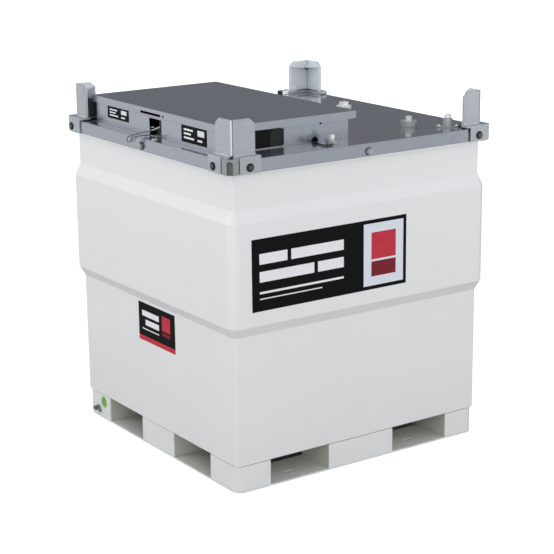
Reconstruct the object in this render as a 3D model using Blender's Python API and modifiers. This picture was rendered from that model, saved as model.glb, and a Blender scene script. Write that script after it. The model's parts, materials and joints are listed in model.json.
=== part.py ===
"""Bunded fuel tank: a square steel bund on a four-way fork base, with a folded deck,
galvanised corner brackets and stacking posts, and a low lockable cabinet on the deck.

Metres, +Z up. The origin is the middle of the footprint, on the ground. The front (-Y) carries
the large sign and the left side (-X) carries the lock of the cabinet.
"""

import math

import bmesh
import bpy
from mathutils import Matrix, Vector

# Body of the bund
BODY_HALF = 0.5525
WALL = 0.004
BELT_OUT = 0.0233
BODY_BOTTOM = 0.1038
BELT_LOW = (0.580, 0.618)
BELT_HIGH = (0.990, 1.033)
BODY_TOP = 1.1585
FLOOR_SHEET = 0.006
LOWER_RADIUS = 0.013
BELT_RADIUS = 0.038
UPPER_RADIUS = 0.006
CORNER_STEPS = 6

# Fork base
BASE_PLATE = 0.006
BASE_RADIUS = 0.035
FOOT_TOP = 0.1000
FOOT_WALL = 0.005
POCKET_Y = (0.117, 0.376)
POCKET_X = (0.1485, 0.409)
SLOT_LENGTH = 0.036
SLOT_WIDTH = 0.020
SLOT_INSET = 0.066

# Deck and rim
RIM_HALF = 0.5765
RIM_BOTTOM = 1.1636
RIM_SHEET = 0.004
RIM_LIP = 0.034
DECK_TOP = 1.211
DECK_SHEET = 0.006
DECK_EDGE = 0.0015
TOP_FRAME_HALF = 0.5760
TOP_FRAME_WIDTH = 0.090

# Corner brackets and posts
BRACKET_HALF = 0.582
BRACKET_TOP = 1.2235
BRACKET_PLATE = 0.008
OPEN_BRACKET_REACH = 0.131
OPEN_BRACKET_START = (0.0445, 0.0545)
OPEN_NOTCH_LEDGE = 0.010
OPEN_NOTCH_FLARE = 0.023
OPEN_NOTCH_FOOT = (0.0215, 0.0285)
CLOSED_BRACKET_REACH = 0.095
CLOSED_PLATE_REACH = 0.112
CLOSED_CUT = 0.038
CLOSED_WALL = 0.0075
CLOSED_RADIUS = 0.012
RIM_END_OPEN = (0.5375, 0.5285)
DECK_CORNER = 0.552
RIM_END_CLOSED = 0.480
SHOE_LEG = (0.039, 0.046)
SHOE_CHAMFER = 0.007
SHOE_SHEET = 0.007
SHOE_TOP = 1.2195
SHOE_SLOT = 0.022
SHOE_SLOT_DROP = 0.006
POST_HALF = 0.5565
POST_TOP = 1.348
POST_SHEET = 0.008
POST_BEND = 0.008
POST_INNER_BEND = 0.003
POST_LEG_OPEN = 0.098
POST_LEG_CLOSED = 0.085
POST_CHAMFER = (0.022, 0.018)
GUSSET_TOP = 1.3295
GUSSET_SHEET = 0.005

# Cabinet on the deck
CABINET_LEFT = -0.527
CABINET_RIGHT = 0.022
CABINET_HALF_Y = 0.442
CABINET_SHEET = 0.003
LOCK_FLANGE = 0.020
LID_LEFT = -0.529
LID_RIGHT = 0.037
LID_HALF_Y = 0.470
LID_TOP = 1.312
LID_SHEET = 0.003
LID_LIP = 0.027
NOTCH_Y = (-0.048, 0.041)
NOTCH_TOP = 1.278
GRIP_Y = (-0.046, 0.100)
GRIP_Z = (1.2895, 1.2985)
GRIP_RADIUS = 0.004
PORT_X = (-0.400, -0.260)
PORT_TOP = 1.281
PORT_RADIUS = 0.008
FLAP_SHEET = 0.004
FLAP_LAP = 0.012
SLIT_X = (-0.3275, -0.3090)
SLIT_HALF = 0.0015
HINGE_X = 0.029
HINGE_Z = 1.2965
HINGE_RADIUS = 0.0055
HINGE_PLACES_Y = (-0.30, 0.30)
HINGE_LEAF = 0.0035
HINGE_LEAF_HALF = 0.031
HINGE_LEAF_DROP = 0.034
KNUCKLE = 0.020
KNUCKLE_GAP = 0.001

# Lock of the lid
LATCH_X = -0.5055
LATCH_Y = (-0.016, 0.004)
LATCH_BOTTOM = 1.242
LATCH_SHEET = 0.004
STAPLE_X = -0.491
STAPLE_Y = -0.006
STAPLE_HEIGHT = 0.040
STAPLE_HALF_WIDTH = 0.013
STAPLE_BAR = 0.0035

# Studs and fittings
STUD_REACH = 0.012
STUD_ALONG = 0.0125
STUD_Z = 1.182
STUD_RADIUS = 0.0095
STUD_WASHER = (0.012, 0.0025)
EARTH_PLACE = (0.479, 0.036)
EARTH_STUD = (0.004, 0.022)
EARTH_NUT = (0.009, 0.008)
EARTH_WING = (0.018, 0.003)
EARTH_WING_OUT = (0.004, 0.014)
DIP_PLACE = (0.347, -0.388)
DIP_SOCKET = (0.032, 0.021)
DIP_HEAD = (0.0165, 0.018)
FILL_PLACE = (0.424, 0.121)
FILL_SOCKET = (0.031, 0.009)
FILL_HEAD = (0.027, 0.015)
GAUGE_PLACE = (-0.095, -0.500)
GAUGE_SOCKET = (0.0215, 0.0155)
GAUGE_HEAD = (0.0155, 0.017)
GAUGE_HOLE_X = -0.1265
GAUGE_HOLE_RADIUS = 0.0145
GAUGE_HOLE_RISE = 0.0045
VENT_PLACE = (0.452, -0.489)
VENT_TURN = -34
VENT_TAB = (0.033, 0.012)
VENT_WAIST = 0.0225
VENT_FLANGE_SHEET = 0.005
VENT_PROFILE = (
    (0.0, 0.051), (0.008, 0.0495), (0.0125, 0.045), (0.0125, 0.034), (0.019, 0.031), (0.0195, 0.0053),
    (0.0, 0.0053),
)

# Rubber block on the back left bracket
BUFFER_LOW = (-0.5475, 0.4740)
BUFFER_HIGH = (-0.4800, 0.5475)
BUFFER_TOP = 1.288
BUFFER_EDGE = 0.008

# Wire at the lock and cable of the gauge: radius, then the middle line's bends
LANYARD_RADIUS = 0.0015
LANYARD_ROUTE = (
    (-0.480, -0.006, 1.231), (-0.500, -0.006, 1.233), (-0.530, 0.001, 1.235), (-0.552, 0.028, 1.229),
    (-0.562, 0.050, 1.222), (-0.571, 0.064, 1.2175), (-0.580, 0.077, 1.2135), (-0.5845, 0.091, 1.207),
    (-0.585, 0.1025, 1.2005), (-0.585, 0.1060, 1.1935), (-0.5845, 0.1000, 1.1865), (-0.584, 0.087, 1.1880),
    (-0.584, 0.070, 1.1990), (-0.582, 0.057, 1.2090), (-0.571, 0.037, 1.2155), (-0.556, 0.018, 1.218),
    (-0.540, 0.003, 1.220), (-0.533, -0.008, 1.2185), (-0.541, -0.0165, 1.2150), (-0.558, -0.014, 1.2137),
    (-0.572, -0.011, 1.2145), (-0.5815, -0.008, 1.2105), (-0.584, 0.001, 1.2020), (-0.584, 0.0115, 1.1955),
)
CABLE_RADIUS = 0.0025
CABLE_ROUTE = (
    (-0.122, -0.425, 1.2142), (-0.124, -0.442, 1.2142), (-0.132, -0.462, 1.2142), (-0.143, -0.485, 1.2142),
    (-0.148, -0.508, 1.2142), (-0.141, -0.528, 1.2142), (-0.124, -0.534, 1.2142), (-0.1105, -0.5275, 1.2155),
)

GAP = 0.0003
ROUND_STEPS = 32


def clear_scene():
    for old in list(bpy.data.objects):
        bpy.data.objects.remove(old, do_unlink=True)


def new_collection(name):
    collection = bpy.data.collections.new(name)
    bpy.context.scene.collection.children.link(collection)
    return collection


def paint(name, colour, roughness, metallic=0.0):
    material = bpy.data.materials.new(name)
    material.use_nodes = True
    shader = material.node_tree.nodes["Principled BSDF"]
    shader.inputs["Base Color"].default_value = (*colour, 1.0)
    shader.inputs["Roughness"].default_value = roughness
    shader.inputs["Metallic"].default_value = metallic
    return material


def from_bmesh(name, mesh_data, material, collection=None):
    bmesh.ops.recalc_face_normals(mesh_data, faces=mesh_data.faces)
    mesh = bpy.data.meshes.new(name)
    mesh_data.to_mesh(mesh)
    mesh_data.free()
    node = bpy.data.objects.new(name, mesh)
    (collection or PARTS).objects.link(node)
    if material:
        mesh.materials.append(material)
    return node


def add_box(mesh_data, low, high):
    low, high = Vector(low), Vector(high)
    place = Matrix.Translation((low + high) / 2) @ Matrix.Diagonal((*(high - low), 1.0))
    return bmesh.ops.create_cube(mesh_data, size=1.0, matrix=place)["verts"]


def box(name, low, high, material, collection=None):
    mesh_data = bmesh.new()
    add_box(mesh_data, low, high)
    return from_bmesh(name, mesh_data, material, collection)


def prism(name, outline, bottom, top, material, collection=None, place=None):
    """A flat outline, anticlockwise from above, carried straight up from bottom to top."""
    mesh_data = bmesh.new()
    floor = mesh_data.faces.new([mesh_data.verts.new((x, y, bottom)) for x, y in outline])
    raised = bmesh.ops.extrude_face_region(mesh_data, geom=[floor])
    upper = [item for item in raised["geom"] if isinstance(item, bmesh.types.BMVert)]
    bmesh.ops.translate(mesh_data, verts=upper, vec=(0, 0, top - bottom))
    if place:
        bmesh.ops.transform(mesh_data, matrix=place, verts=mesh_data.verts)
    return from_bmesh(name, mesh_data, material, collection)


def cylinder(name, centre, axis, radius, length, material, collection=None, steps=ROUND_STEPS):
    """A round bar from centre, running its whole length along the axis."""
    axis = Vector(axis).normalized()
    turn = axis.to_track_quat("Z", "Y").to_matrix().to_4x4()
    place = Matrix.Translation(Vector(centre) + axis * length / 2) @ turn
    mesh_data = bmesh.new()
    bmesh.ops.create_cone(
        mesh_data, cap_ends=True, segments=steps, radius1=radius, radius2=radius,
        depth=length, matrix=place,
    )
    return smooth(from_bmesh(name, mesh_data, material, collection))


def smooth(node, angle=35):
    node.data.shade_smooth()
    node.data.set_sharp_from_angle(angle=math.radians(angle))
    return node


def boolean(node, cutter, operation="DIFFERENCE"):
    modifier = node.modifiers.new(operation.lower(), "BOOLEAN")
    modifier.operation = operation
    modifier.object = cutter
    modifier.solver = "EXACT"
    cutter.hide_render = True
    cutter.display_type = "WIRE"
    return node


def rounded_square(half, radius, steps=CORNER_STEPS):
    """Outline of a square with round corners, anticlockwise from the front left corner."""
    points = []
    for quarter in range(4):
        middle = math.radians(225 + 90 * quarter)
        centre_x = math.copysign(half - radius, math.cos(middle))
        centre_y = math.copysign(half - radius, math.sin(middle))
        for step in range(steps + 1):
            angle = math.radians(180 + 90 * quarter + 90 * step / steps)
            points.append((centre_x + radius * math.cos(angle), centre_y + radius * math.sin(angle)))
    return points


def rounded_box_outline(low, high, radius, steps=CORNER_STEPS):
    """Outline of a rectangle with round corners, anticlockwise."""
    middles = (
        (low[0] + radius, low[1] + radius, 180),
        (high[0] - radius, low[1] + radius, 270),
        (high[0] - radius, high[1] - radius, 0),
        (low[0] + radius, high[1] - radius, 90),
    )
    points = []
    for centre_x, centre_y, start in middles:
        for step in range(steps + 1):
            angle = math.radians(start + 90 * step / steps)
            points.append((centre_x + radius * math.cos(angle), centre_y + radius * math.sin(angle)))
    return points


def bund_shell():
    """The four folded walls, welded to one skin: plain below, a raised belt, plain above."""
    belt_half = BODY_HALF + BELT_OUT
    sections = (
        (BODY_BOTTOM, BODY_HALF, LOWER_RADIUS),
        (BELT_LOW[0], BODY_HALF, LOWER_RADIUS),
        (BELT_LOW[1], belt_half, BELT_RADIUS),
        (BELT_HIGH[0], belt_half, BELT_RADIUS),
        (BELT_HIGH[1], BODY_HALF, UPPER_RADIUS),
        (BODY_TOP, BODY_HALF, UPPER_RADIUS),
    )
    mesh_data = bmesh.new()
    rings = []
    for height, half, radius in sections:
        rings.append([mesh_data.verts.new((x, y, height)) for x, y in rounded_square(half, radius)])
    for height, half, radius in reversed(sections):
        inner = rounded_square(half - WALL, max(radius - WALL, 0.002))
        rings.append([mesh_data.verts.new((x, y, height)) for x, y in inner])
    count = len(rings[0])
    for lower, upper in zip(rings, rings[1:] + rings[:1]):
        for i in range(count):
            j = (i + 1) % count
            mesh_data.faces.new((lower[i], lower[j], upper[j], upper[i]))
    return smooth(from_bmesh("bund_shell", mesh_data, WHITE), 30)


def base_plate():
    """The plate under the fork pockets, with a slot in the floor of each front and back pocket."""
    outline = rounded_square(BODY_HALF, BASE_RADIUS)
    node = prism("base_plate", outline, 0.0, BASE_PLATE, WHITE)
    middle_x = sum(POCKET_X) / 2
    for side_x in (-1, 1):
        for side_y in (-1, 1):
            x = side_x * middle_x
            y = side_y * (BODY_HALF - SLOT_INSET)
            low = (x - SLOT_LENGTH / 2, y - SLOT_WIDTH / 2)
            high = (x + SLOT_LENGTH / 2, y + SLOT_WIDTH / 2)
            slot = prism(
                "slot_cutter", rounded_box_outline(low, high, SLOT_WIDTH / 2 - 0.0002),
                -BASE_PLATE, 2 * BASE_PLATE, None, CUTTERS,
            )
            boolean(node, slot)


def foot(name, low, high, corner=None):
    """A box foot of folded plate, open above and below. A corner foot follows the round base."""
    bottom, top = BASE_PLATE + GAP, FOOT_TOP
    mesh_data = bmesh.new()
    if corner:
        outer = corner_outline(low, high, corner, BASE_RADIUS)
        inner_low = (low[0] + FOOT_WALL, low[1] + FOOT_WALL)
        inner_high = (high[0] - FOOT_WALL, high[1] - FOOT_WALL)
        inner = corner_outline(inner_low, inner_high, corner, BASE_RADIUS - FOOT_WALL)
    else:
        outer = [(low[0], low[1]), (high[0], low[1]), (high[0], high[1]), (low[0], high[1])]
        inner = [
            (low[0] + FOOT_WALL, low[1] + FOOT_WALL), (high[0] - FOOT_WALL, low[1] + FOOT_WALL),
            (high[0] - FOOT_WALL, high[1] - FOOT_WALL), (low[0] + FOOT_WALL, high[1] - FOOT_WALL),
        ]
    rings = [
        [mesh_data.verts.new((x, y, height)) for x, y in outline]
        for outline, height in ((outer, bottom), (outer, top), (inner, top), (inner, bottom))
    ]
    count = len(outer)
    for lower, upper in zip(rings, rings[1:] + rings[:1]):
        for i in range(count):
            j = (i + 1) % count
            mesh_data.faces.new((lower[i], lower[j], upper[j], upper[i]))
    return smooth(from_bmesh(name, mesh_data, WHITE))


def corner_outline(low, high, corner, radius):
    """A rectangle whose corner in the direction of (sx, sy) is round."""
    points = []
    for sx, sy in ((-1, -1), (1, -1), (1, 1), (-1, 1)):
        x = high[0] if sx > 0 else low[0]
        y = high[1] if sy > 0 else low[1]
        if (sx, sy) != corner:
            points.append((x, y))
            continue
        start = {(-1, -1): 180, (1, -1): 270, (1, 1): 0, (-1, 1): 90}[corner]
        for step in range(CORNER_STEPS + 1):
            angle = math.radians(start + 90 * step / CORNER_STEPS)
            points.append((
                x - sx * radius + radius * math.cos(angle),
                y - sy * radius + radius * math.sin(angle),
            ))
    return points


def fork_base():
    base_plate()
    spans_x = {"left": (-BODY_HALF, -POCKET_X[1]), "middle": (-POCKET_X[0], POCKET_X[0]),
               "right": (POCKET_X[1], BODY_HALF)}
    spans_y = {"front": (-BODY_HALF, -POCKET_Y[1]), "middle": (-POCKET_Y[0], POCKET_Y[0]),
               "back": (POCKET_Y[1], BODY_HALF)}
    signs = {"left": -1, "right": 1, "front": -1, "back": 1, "middle": 0}
    for side_y, (y0, y1) in spans_y.items():
        for side_x, (x0, x1) in spans_x.items():
            corner = (signs[side_x], signs[side_y])
            foot(f"foot_{side_y}_{side_x}", (x0, y0), (x1, y1), corner if 0 not in corner else None)


def bund_floor():
    half = BODY_HALF - WALL - GAP
    outline = rounded_square(half, LOWER_RADIUS - WALL)
    prism("bund_floor", outline, FOOT_TOP + GAP, FOOT_TOP + GAP + FLOOR_SHEET, WHITE)


def ring_plate(name, outer, inner, bottom, top, material):
    node = box(name, (-outer, -outer, bottom), (outer, outer, top), material)
    hole = box(name + "_hole", (-inner, -inner, bottom - 0.01), (inner, inner, top + 0.01), None, CUTTERS)
    return boolean(node, hole)


def deck_plate():
    """The deck, cut back at each corner for its bracket, with a tongue under each open one."""
    far, (open_end, side_end), closed_end, tongue = RIM_HALF, RIM_END_OPEN, RIM_END_CLOSED, DECK_CORNER
    half_outline = [
        (-open_end, -far), (closed_end, -far), (closed_end, -closed_end), (far, -closed_end),
        (far, side_end), (tongue, side_end), (tongue, tongue), (open_end, tongue),
    ]
    outline = half_outline + [(-x, -y) for x, y in half_outline]
    node = prism("deck_plate", outline, DECK_TOP - DECK_SHEET, DECK_TOP, GREY)
    bevel = node.modifiers.new("edge", "BEVEL")
    bevel.width = DECK_EDGE
    bevel.segments = 2
    bevel.limit_method = "ANGLE"


def rim(name, turn, start, end):
    """An angle that hangs from the deck's edge. Made for the front and turned into place."""
    out, inside = RIM_HALF, RIM_HALF - RIM_SHEET
    top = DECK_TOP - DECK_SHEET - GAP
    outline = [
        (-out, RIM_BOTTOM), (-out + RIM_LIP, RIM_BOTTOM), (-out + RIM_LIP, RIM_BOTTOM + RIM_SHEET),
        (-inside, RIM_BOTTOM + RIM_SHEET), (-inside, top), (-out, top),
    ]
    mesh_data = bmesh.new()
    face = mesh_data.faces.new([mesh_data.verts.new((start, y, z)) for y, z in outline])
    raised = bmesh.ops.extrude_face_region(mesh_data, geom=[face])
    far = [item for item in raised["geom"] if isinstance(item, bmesh.types.BMVert)]
    bmesh.ops.translate(mesh_data, verts=far, vec=(end - start, 0, 0))
    place = Matrix.Rotation(math.radians(turn), 4, "Z")
    bmesh.ops.transform(mesh_data, matrix=place, verts=mesh_data.verts)
    from_bmesh(name, mesh_data, GREY)


def rims():
    open_end, side_end = RIM_END_OPEN
    rim("rim_front", 0, -open_end, RIM_END_CLOSED)
    rim("rim_right", 90, -RIM_END_CLOSED, side_end)
    rim("rim_back", 180, -open_end, RIM_END_CLOSED)
    rim("rim_left", 270, -RIM_END_CLOSED, side_end)


def corner_place(turn):
    """Puts a piece made at the front left corner at another one."""
    return Matrix.Rotation(math.radians(turn), 4, "Z")


def inward(points, half):
    """Points counted inward from the two outer faces of the front left corner."""
    return [(-half + u, -half + v) for u, v in points]


def moved(node, turn):
    node.data.transform(corner_place(turn))
    return node


def open_bracket(name, turn):
    """A strip along both rims, slit at its corner, with one arm down over each rim."""
    (start, side_start), reach = OPEN_BRACKET_START, OPEN_BRACKET_REACH
    arm, strip = BRACKET_HALF - RIM_HALF - GAP, BRACKET_HALF - POST_HALF + POST_SHEET
    ledge, flare, (near, far) = OPEN_NOTCH_LEDGE, OPEN_NOTCH_FLARE, OPEN_NOTCH_FOOT
    plate = inward([
        (start, 0), (reach, 0), (reach, strip), (strip, strip), (strip, reach), (0, reach),
        (0, side_start), (ledge, side_start), (ledge, flare), (near, far), (far, near), (flare, ledge),
        (start, ledge),
    ], BRACKET_HALF)
    node = prism(name, plate, DECK_TOP + GAP, BRACKET_TOP, GALVANISED)
    for number, (low, high) in enumerate((
        ((start, 0), (reach, arm)),
        ((0, side_start), (arm, reach)),
    )):
        low, high = inward([low, high], BRACKET_HALF)
        cutter = box(
            f"{name}_arm_{number}", (*low, RIM_BOTTOM), (*high, BRACKET_TOP - 0.002), None, CUTTERS
        )
        boolean(node, cutter, "UNION")
        cutter.data.transform(corner_place(turn))
    return moved(node, turn)


def closed_bracket(name, turn):
    """A top plate, cut across at its inner corner, with a wall down each outer side."""
    reach, plate_reach, wall = CLOSED_BRACKET_REACH, CLOSED_PLATE_REACH, CLOSED_WALL
    low, high = inward([(0, 0), (plate_reach, plate_reach)], BRACKET_HALF)
    outline = corner_outline(low, high, (-1, -1), CLOSED_RADIUS)
    cut = inward([(plate_reach, CLOSED_CUT), (CLOSED_CUT, plate_reach)], BRACKET_HALF)
    outline[-2:-1] = cut
    node = prism(name, outline, BRACKET_TOP - BRACKET_PLATE, BRACKET_TOP, GALVANISED)
    low, high = inward([(0, 0), (reach, reach)], BRACKET_HALF)
    outline = corner_outline(low, high, (-1, -1), CLOSED_RADIUS)
    outline[-2:-1] = inward([(reach, wall), (wall, wall), (wall, reach)], BRACKET_HALF)
    skirt = prism(name + "_skirt", outline, RIM_BOTTOM, BRACKET_TOP - 0.002, None, CUTTERS)
    skirt.data.transform(corner_place(turn))
    boolean(node, skirt, "UNION")
    return moved(node, turn)


def corner_shoe(name, turn):
    """The bent corner piece between the arms of an open bracket, with a tie-down slot at its bend."""
    (leg, side_leg), sheet = SHOE_LEG, SHOE_SHEET
    outline = inward([
        (0.003, 0), (leg, 0), (leg, sheet), (sheet + 0.001, sheet), (sheet, sheet + 0.001),
        (sheet, side_leg), (0, side_leg), (0, 0.003),
    ], BRACKET_HALF)
    node = prism(name, outline, RIM_BOTTOM, SHOE_TOP, GALVANISED)
    for number, (reach, swap) in enumerate(((leg, False), (side_leg, True))):
        cutter = leg_end_cutter(
            f"{name}_cut_{number}", -BRACKET_HALF + reach, SHOE_TOP, (SHOE_CHAMFER, SHOE_CHAMFER),
            (-BRACKET_HALF - 0.01, -BRACKET_HALF + sheet + 0.0005), swap,
        )
        cutter.data.transform(corner_place(turn))
        boolean(node, cutter)
    corner = Vector((-BRACKET_HALF, -BRACKET_HALF, 0))
    along = Vector((1, 1, 0)).normalized()
    slot_top = SHOE_TOP - SHOE_SLOT_DROP - SHOE_SLOT / 2
    mesh_data = bmesh.new()
    steps = 12
    side = Vector((1, -1, 0)).normalized()
    half = SHOE_SLOT / 2
    ends = []
    for reach in (-0.02, 0.03):
        arc = [
            corner + along * reach + side * half * math.cos(math.pi * i / steps)
            + Vector((0, 0, slot_top + half * math.sin(math.pi * i / steps)))
            for i in range(steps + 1)
        ]
        arc.append(corner + along * reach - side * half + Vector((0, 0, RIM_BOTTOM - 0.01)))
        arc.append(corner + along * reach + side * half + Vector((0, 0, RIM_BOTTOM - 0.01)))
        ends.append([mesh_data.verts.new(point) for point in arc])
    mesh_data.faces.new(ends[0])
    mesh_data.faces.new(list(reversed(ends[1])))
    count = len(ends[0])
    for i in range(count):
        j = (i + 1) % count
        mesh_data.faces.new((ends[0][j], ends[0][i], ends[1][i], ends[1][j]))
    slot = from_bmesh(name + "_slot", mesh_data, None, CUTTERS)
    slot.data.transform(corner_place(turn))
    boolean(node, slot)
    return moved(node, turn)


def leg_end_cutter(name, tip, top, chamfer, depths, swap):
    """Takes the upper corner off the end of a leg that runs along X or, swapped, along Y."""
    across, down = chamfer
    profile = (
        (tip - across, top), (tip - across, top + 0.01), (tip + 0.01, top + 0.01),
        (tip + 0.01, top - down), (tip, top - down),
    )
    mesh_data = bmesh.new()
    ends = [
        [mesh_data.verts.new((depth, along, z) if swap else (along, depth, z)) for along, z in profile]
        for depth in depths
    ]
    mesh_data.faces.new(ends[0])
    mesh_data.faces.new(list(reversed(ends[1])))
    for i in range(len(profile)):
        j = (i + 1) % len(profile)
        mesh_data.faces.new((ends[0][j], ends[0][i], ends[1][i], ends[1][j]))
    return from_bmesh(name, mesh_data, None, CUTTERS)


def angle_outline(half, leg, sheet, bend):
    """Section of an angle at the front left corner, round at its bend inside and out."""
    steps = CORNER_STEPS
    points = []
    for step in range(steps + 1):
        angle = math.radians(180 + 90 * step / steps)
        points.append((-half + bend + bend * math.cos(angle), -half + bend + bend * math.sin(angle)))
    points += [(-half + leg, -half), (-half + leg, -half + sheet)]
    inner = POST_INNER_BEND
    for step in range(steps + 1):
        angle = math.radians(270 - 90 * step / steps)
        centre = -half + sheet + inner
        points.append((centre + inner * math.cos(angle), centre + inner * math.sin(angle)))
    points += [(-half + sheet, -half + leg), (-half, -half + leg)]
    return points


def post(name, turn, leg):
    """An angle post whose top corners are cut off, with a flat gusset between its legs."""
    node = prism(
        name, angle_outline(POST_HALF, leg, POST_SHEET, POST_BEND), BRACKET_TOP + GAP, POST_TOP, GALVANISED
    )
    gusset_low = -POST_HALF + POST_SHEET - 0.001
    gusset_end = -POST_HALF + leg - 0.002
    gusset = prism(
        name + "_gusset", [(gusset_low, gusset_low), (gusset_end, gusset_low), (gusset_low, gusset_end)],
        GUSSET_TOP - GUSSET_SHEET, GUSSET_TOP, None, CUTTERS,
    )
    boolean(node, gusset, "UNION")
    for number, swap in enumerate((False, True)):
        cutter = leg_end_cutter(
            f"{name}_cut_{number}", -POST_HALF + leg, POST_TOP, POST_CHAMFER,
            (-POST_HALF - 0.01, -POST_HALF + POST_SHEET + 0.0005), swap,
        )
        cutter.data.transform(corner_place(turn))
        boolean(node, cutter)
    gusset.data.transform(corner_place(turn))
    return smooth(moved(node, turn))


def corners():
    for name, turn in (("front_left", 0), ("back_right", 180)):
        open_bracket(f"bracket_{name}", turn)
        corner_shoe(f"corner_shoe_{name}", turn)
        post(f"post_{name}", turn, POST_LEG_OPEN)
    for name, turn in (("front_right", 90), ("back_left", 270)):
        closed_bracket(f"bracket_{name}", turn)
        post(f"post_{name}", turn, POST_LEG_CLOSED)


def cabinet_walls():
    bottom, top = DECK_TOP + GAP, LID_TOP - LID_SHEET - GAP
    sheet, side = CABINET_SHEET, CABINET_HALF_Y
    lip_bottom = LID_TOP - LID_LIP
    lock_wall = box(
        "cabinet_wall_left", (CABINET_LEFT, -side, bottom),
        (CABINET_LEFT + sheet, side, lip_bottom - 2 * GAP), GREY,
    )
    shelf = box(
        "lock_wall_flange", (CABINET_LEFT + 0.001, -side, lip_bottom - 2 * GAP - sheet),
        (CABINET_LEFT + LOCK_FLANGE, side, lip_bottom - 2 * GAP), None, CUTTERS,
    )
    boolean(lock_wall, shelf, "UNION")
    notch = box(
        "lock_notch", (CABINET_LEFT - 0.02, NOTCH_Y[0], bottom - 0.02),
        (CABINET_LEFT + 0.012, NOTCH_Y[1], NOTCH_TOP), None, CUTTERS,
    )
    boolean(lock_wall, notch)
    start = CABINET_LEFT + sheet + GAP
    end = CABINET_RIGHT - sheet - GAP
    for name, sign in (("front", -1), ("back", 1)):
        y0, y1 = sorted((sign * side, sign * (side - sheet)))
        low, high = (start, y0, bottom), (end, y1, top)
        wall = box(f"cabinet_wall_{name}", low, high, GREY)
        corner_cut = box(
            f"{name}_flange_room", (start - 0.01, min(y0, y1) - 0.01, lip_bottom - 0.006),
            (CABINET_LEFT + LOCK_FLANGE + 0.0005, max(y0, y1) + 0.01, lip_bottom), None, CUTTERS,
        )
        boolean(wall, corner_cut)
        outline = rounded_box_outline((PORT_X[0], bottom + 0.003), (PORT_X[1], PORT_TOP), PORT_RADIUS)
        boolean(wall, side_cutter(f"{name}_port", outline, y0 - 0.01, y1 + 0.01))
        if name == "front":
            radius = GAUGE_HOLE_RADIUS
            arch = [(GAUGE_HOLE_X - radius, bottom - 0.01), (GAUGE_HOLE_X + radius, bottom - 0.01)]
            for step in range(13):
                angle = math.pi * step / 12
                arch.append((
                    GAUGE_HOLE_X + radius * math.cos(angle),
                    bottom + GAUGE_HOLE_RISE + radius * math.sin(angle),
                ))
            boolean(wall, side_cutter("gauge_hole", arch, y0 - 0.01, y1 + 0.01))
    box(
        "cabinet_wall_right", (CABINET_RIGHT - sheet, -side, bottom), (CABINET_RIGHT, side, top), GREY
    )


def side_cutter(name, outline, y0, y1):
    """A cutter whose outline is drawn in X and Z, carried along Y."""
    mesh_data = bmesh.new()
    face = mesh_data.faces.new([mesh_data.verts.new((x, y0, z)) for x, z in outline])
    raised = bmesh.ops.extrude_face_region(mesh_data, geom=[face])
    far = [item for item in raised["geom"] if isinstance(item, bmesh.types.BMVert)]
    bmesh.ops.translate(mesh_data, verts=far, vec=(0, y1 - y0, 0))
    return from_bmesh(name, mesh_data, None, CUTTERS)


def port_flaps():
    """Rubber curtains just inside the two ports, each with a slanted slit up from its lower edge."""
    bottom, top = DECK_TOP + 0.002, PORT_TOP + 0.010
    for name, sign in (("front", -1), ("back", 1)):
        face = sign * (CABINET_HALF_Y - CABINET_SHEET - GAP)
        y0, y1 = sorted((face, face - sign * FLAP_SHEET))
        low, high = (PORT_X[0] - FLAP_LAP, y0, bottom), (PORT_X[1] + FLAP_LAP, y1, top)
        flap = box(f"port_flap_{name}", low, high, RUBBER)
        slant = (SLIT_X[1] - SLIT_X[0]) / (PORT_TOP - bottom)
        low_x = SLIT_X[0] - 0.01 * slant
        outline = [
            (low_x - SLIT_HALF, bottom - 0.01), (low_x + SLIT_HALF, bottom - 0.01),
            (SLIT_X[1] + SLIT_HALF, PORT_TOP), (SLIT_X[1] - SLIT_HALF, PORT_TOP),
        ]
        boolean(flap, side_cutter(f"{name}_slit", outline, y0 - 0.01, y1 + 0.01))


def lid():
    """Folded lid with lips on three sides, and the hinge knuckles under its right edge."""
    top, sheet = LID_TOP, LID_SHEET
    hinge = bpy.data.objects.new("lid_hinge_axis", None)
    PARTS.objects.link(hinge)
    hinge.location = (HINGE_X, 0, HINGE_Z)
    mesh_data = bmesh.new()
    add_box(mesh_data, (LID_LEFT, -LID_HALF_Y, top - LID_LIP), (LID_RIGHT, LID_HALF_Y, top))
    node = from_bmesh("cabinet_lid", mesh_data, GREY)
    hollow = box(
        "lid_hollow", (LID_LEFT + sheet, -LID_HALF_Y + sheet, top - LID_LIP - 0.01),
        (LID_RIGHT + 0.01, LID_HALF_Y - sheet, top - sheet), None, CUTTERS,
    )
    boolean(node, hollow)
    grip = grip_cutter()
    boolean(node, grip)
    for number, y in enumerate(HINGE_PLACES_Y):
        mesh_data = bmesh.new()
        place = Matrix.Translation((HINGE_X, y, HINGE_Z)) @ Matrix.Rotation(math.pi / 2, 4, "X")
        bmesh.ops.create_cone(
            mesh_data, cap_ends=True, segments=20, radius1=HINGE_RADIUS, radius2=HINGE_RADIUS,
            depth=KNUCKLE, matrix=place,
        )
        knuckle = from_bmesh(f"lid_knuckle_{number}", mesh_data, None, CUTTERS)
        leaf = box(
            f"lid_leaf_{number}", (HINGE_X - 0.002, y - KNUCKLE / 2, HINGE_Z),
            (HINGE_X + 0.003, y + KNUCKLE / 2, top - sheet + 0.001), None, CUTTERS,
        )
        boolean(node, knuckle, "UNION")
        boolean(node, leaf, "UNION")
    latch = box(
        "lid_latch", (LATCH_X, LATCH_Y[0], LATCH_BOTTOM),
        (LATCH_X + LATCH_SHEET, LATCH_Y[1], top - sheet - GAP), ZINC,
    )
    for moving in (node, latch):
        moving.parent = hinge
        moving.matrix_parent_inverse = Matrix.Translation(-hinge.location)


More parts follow.
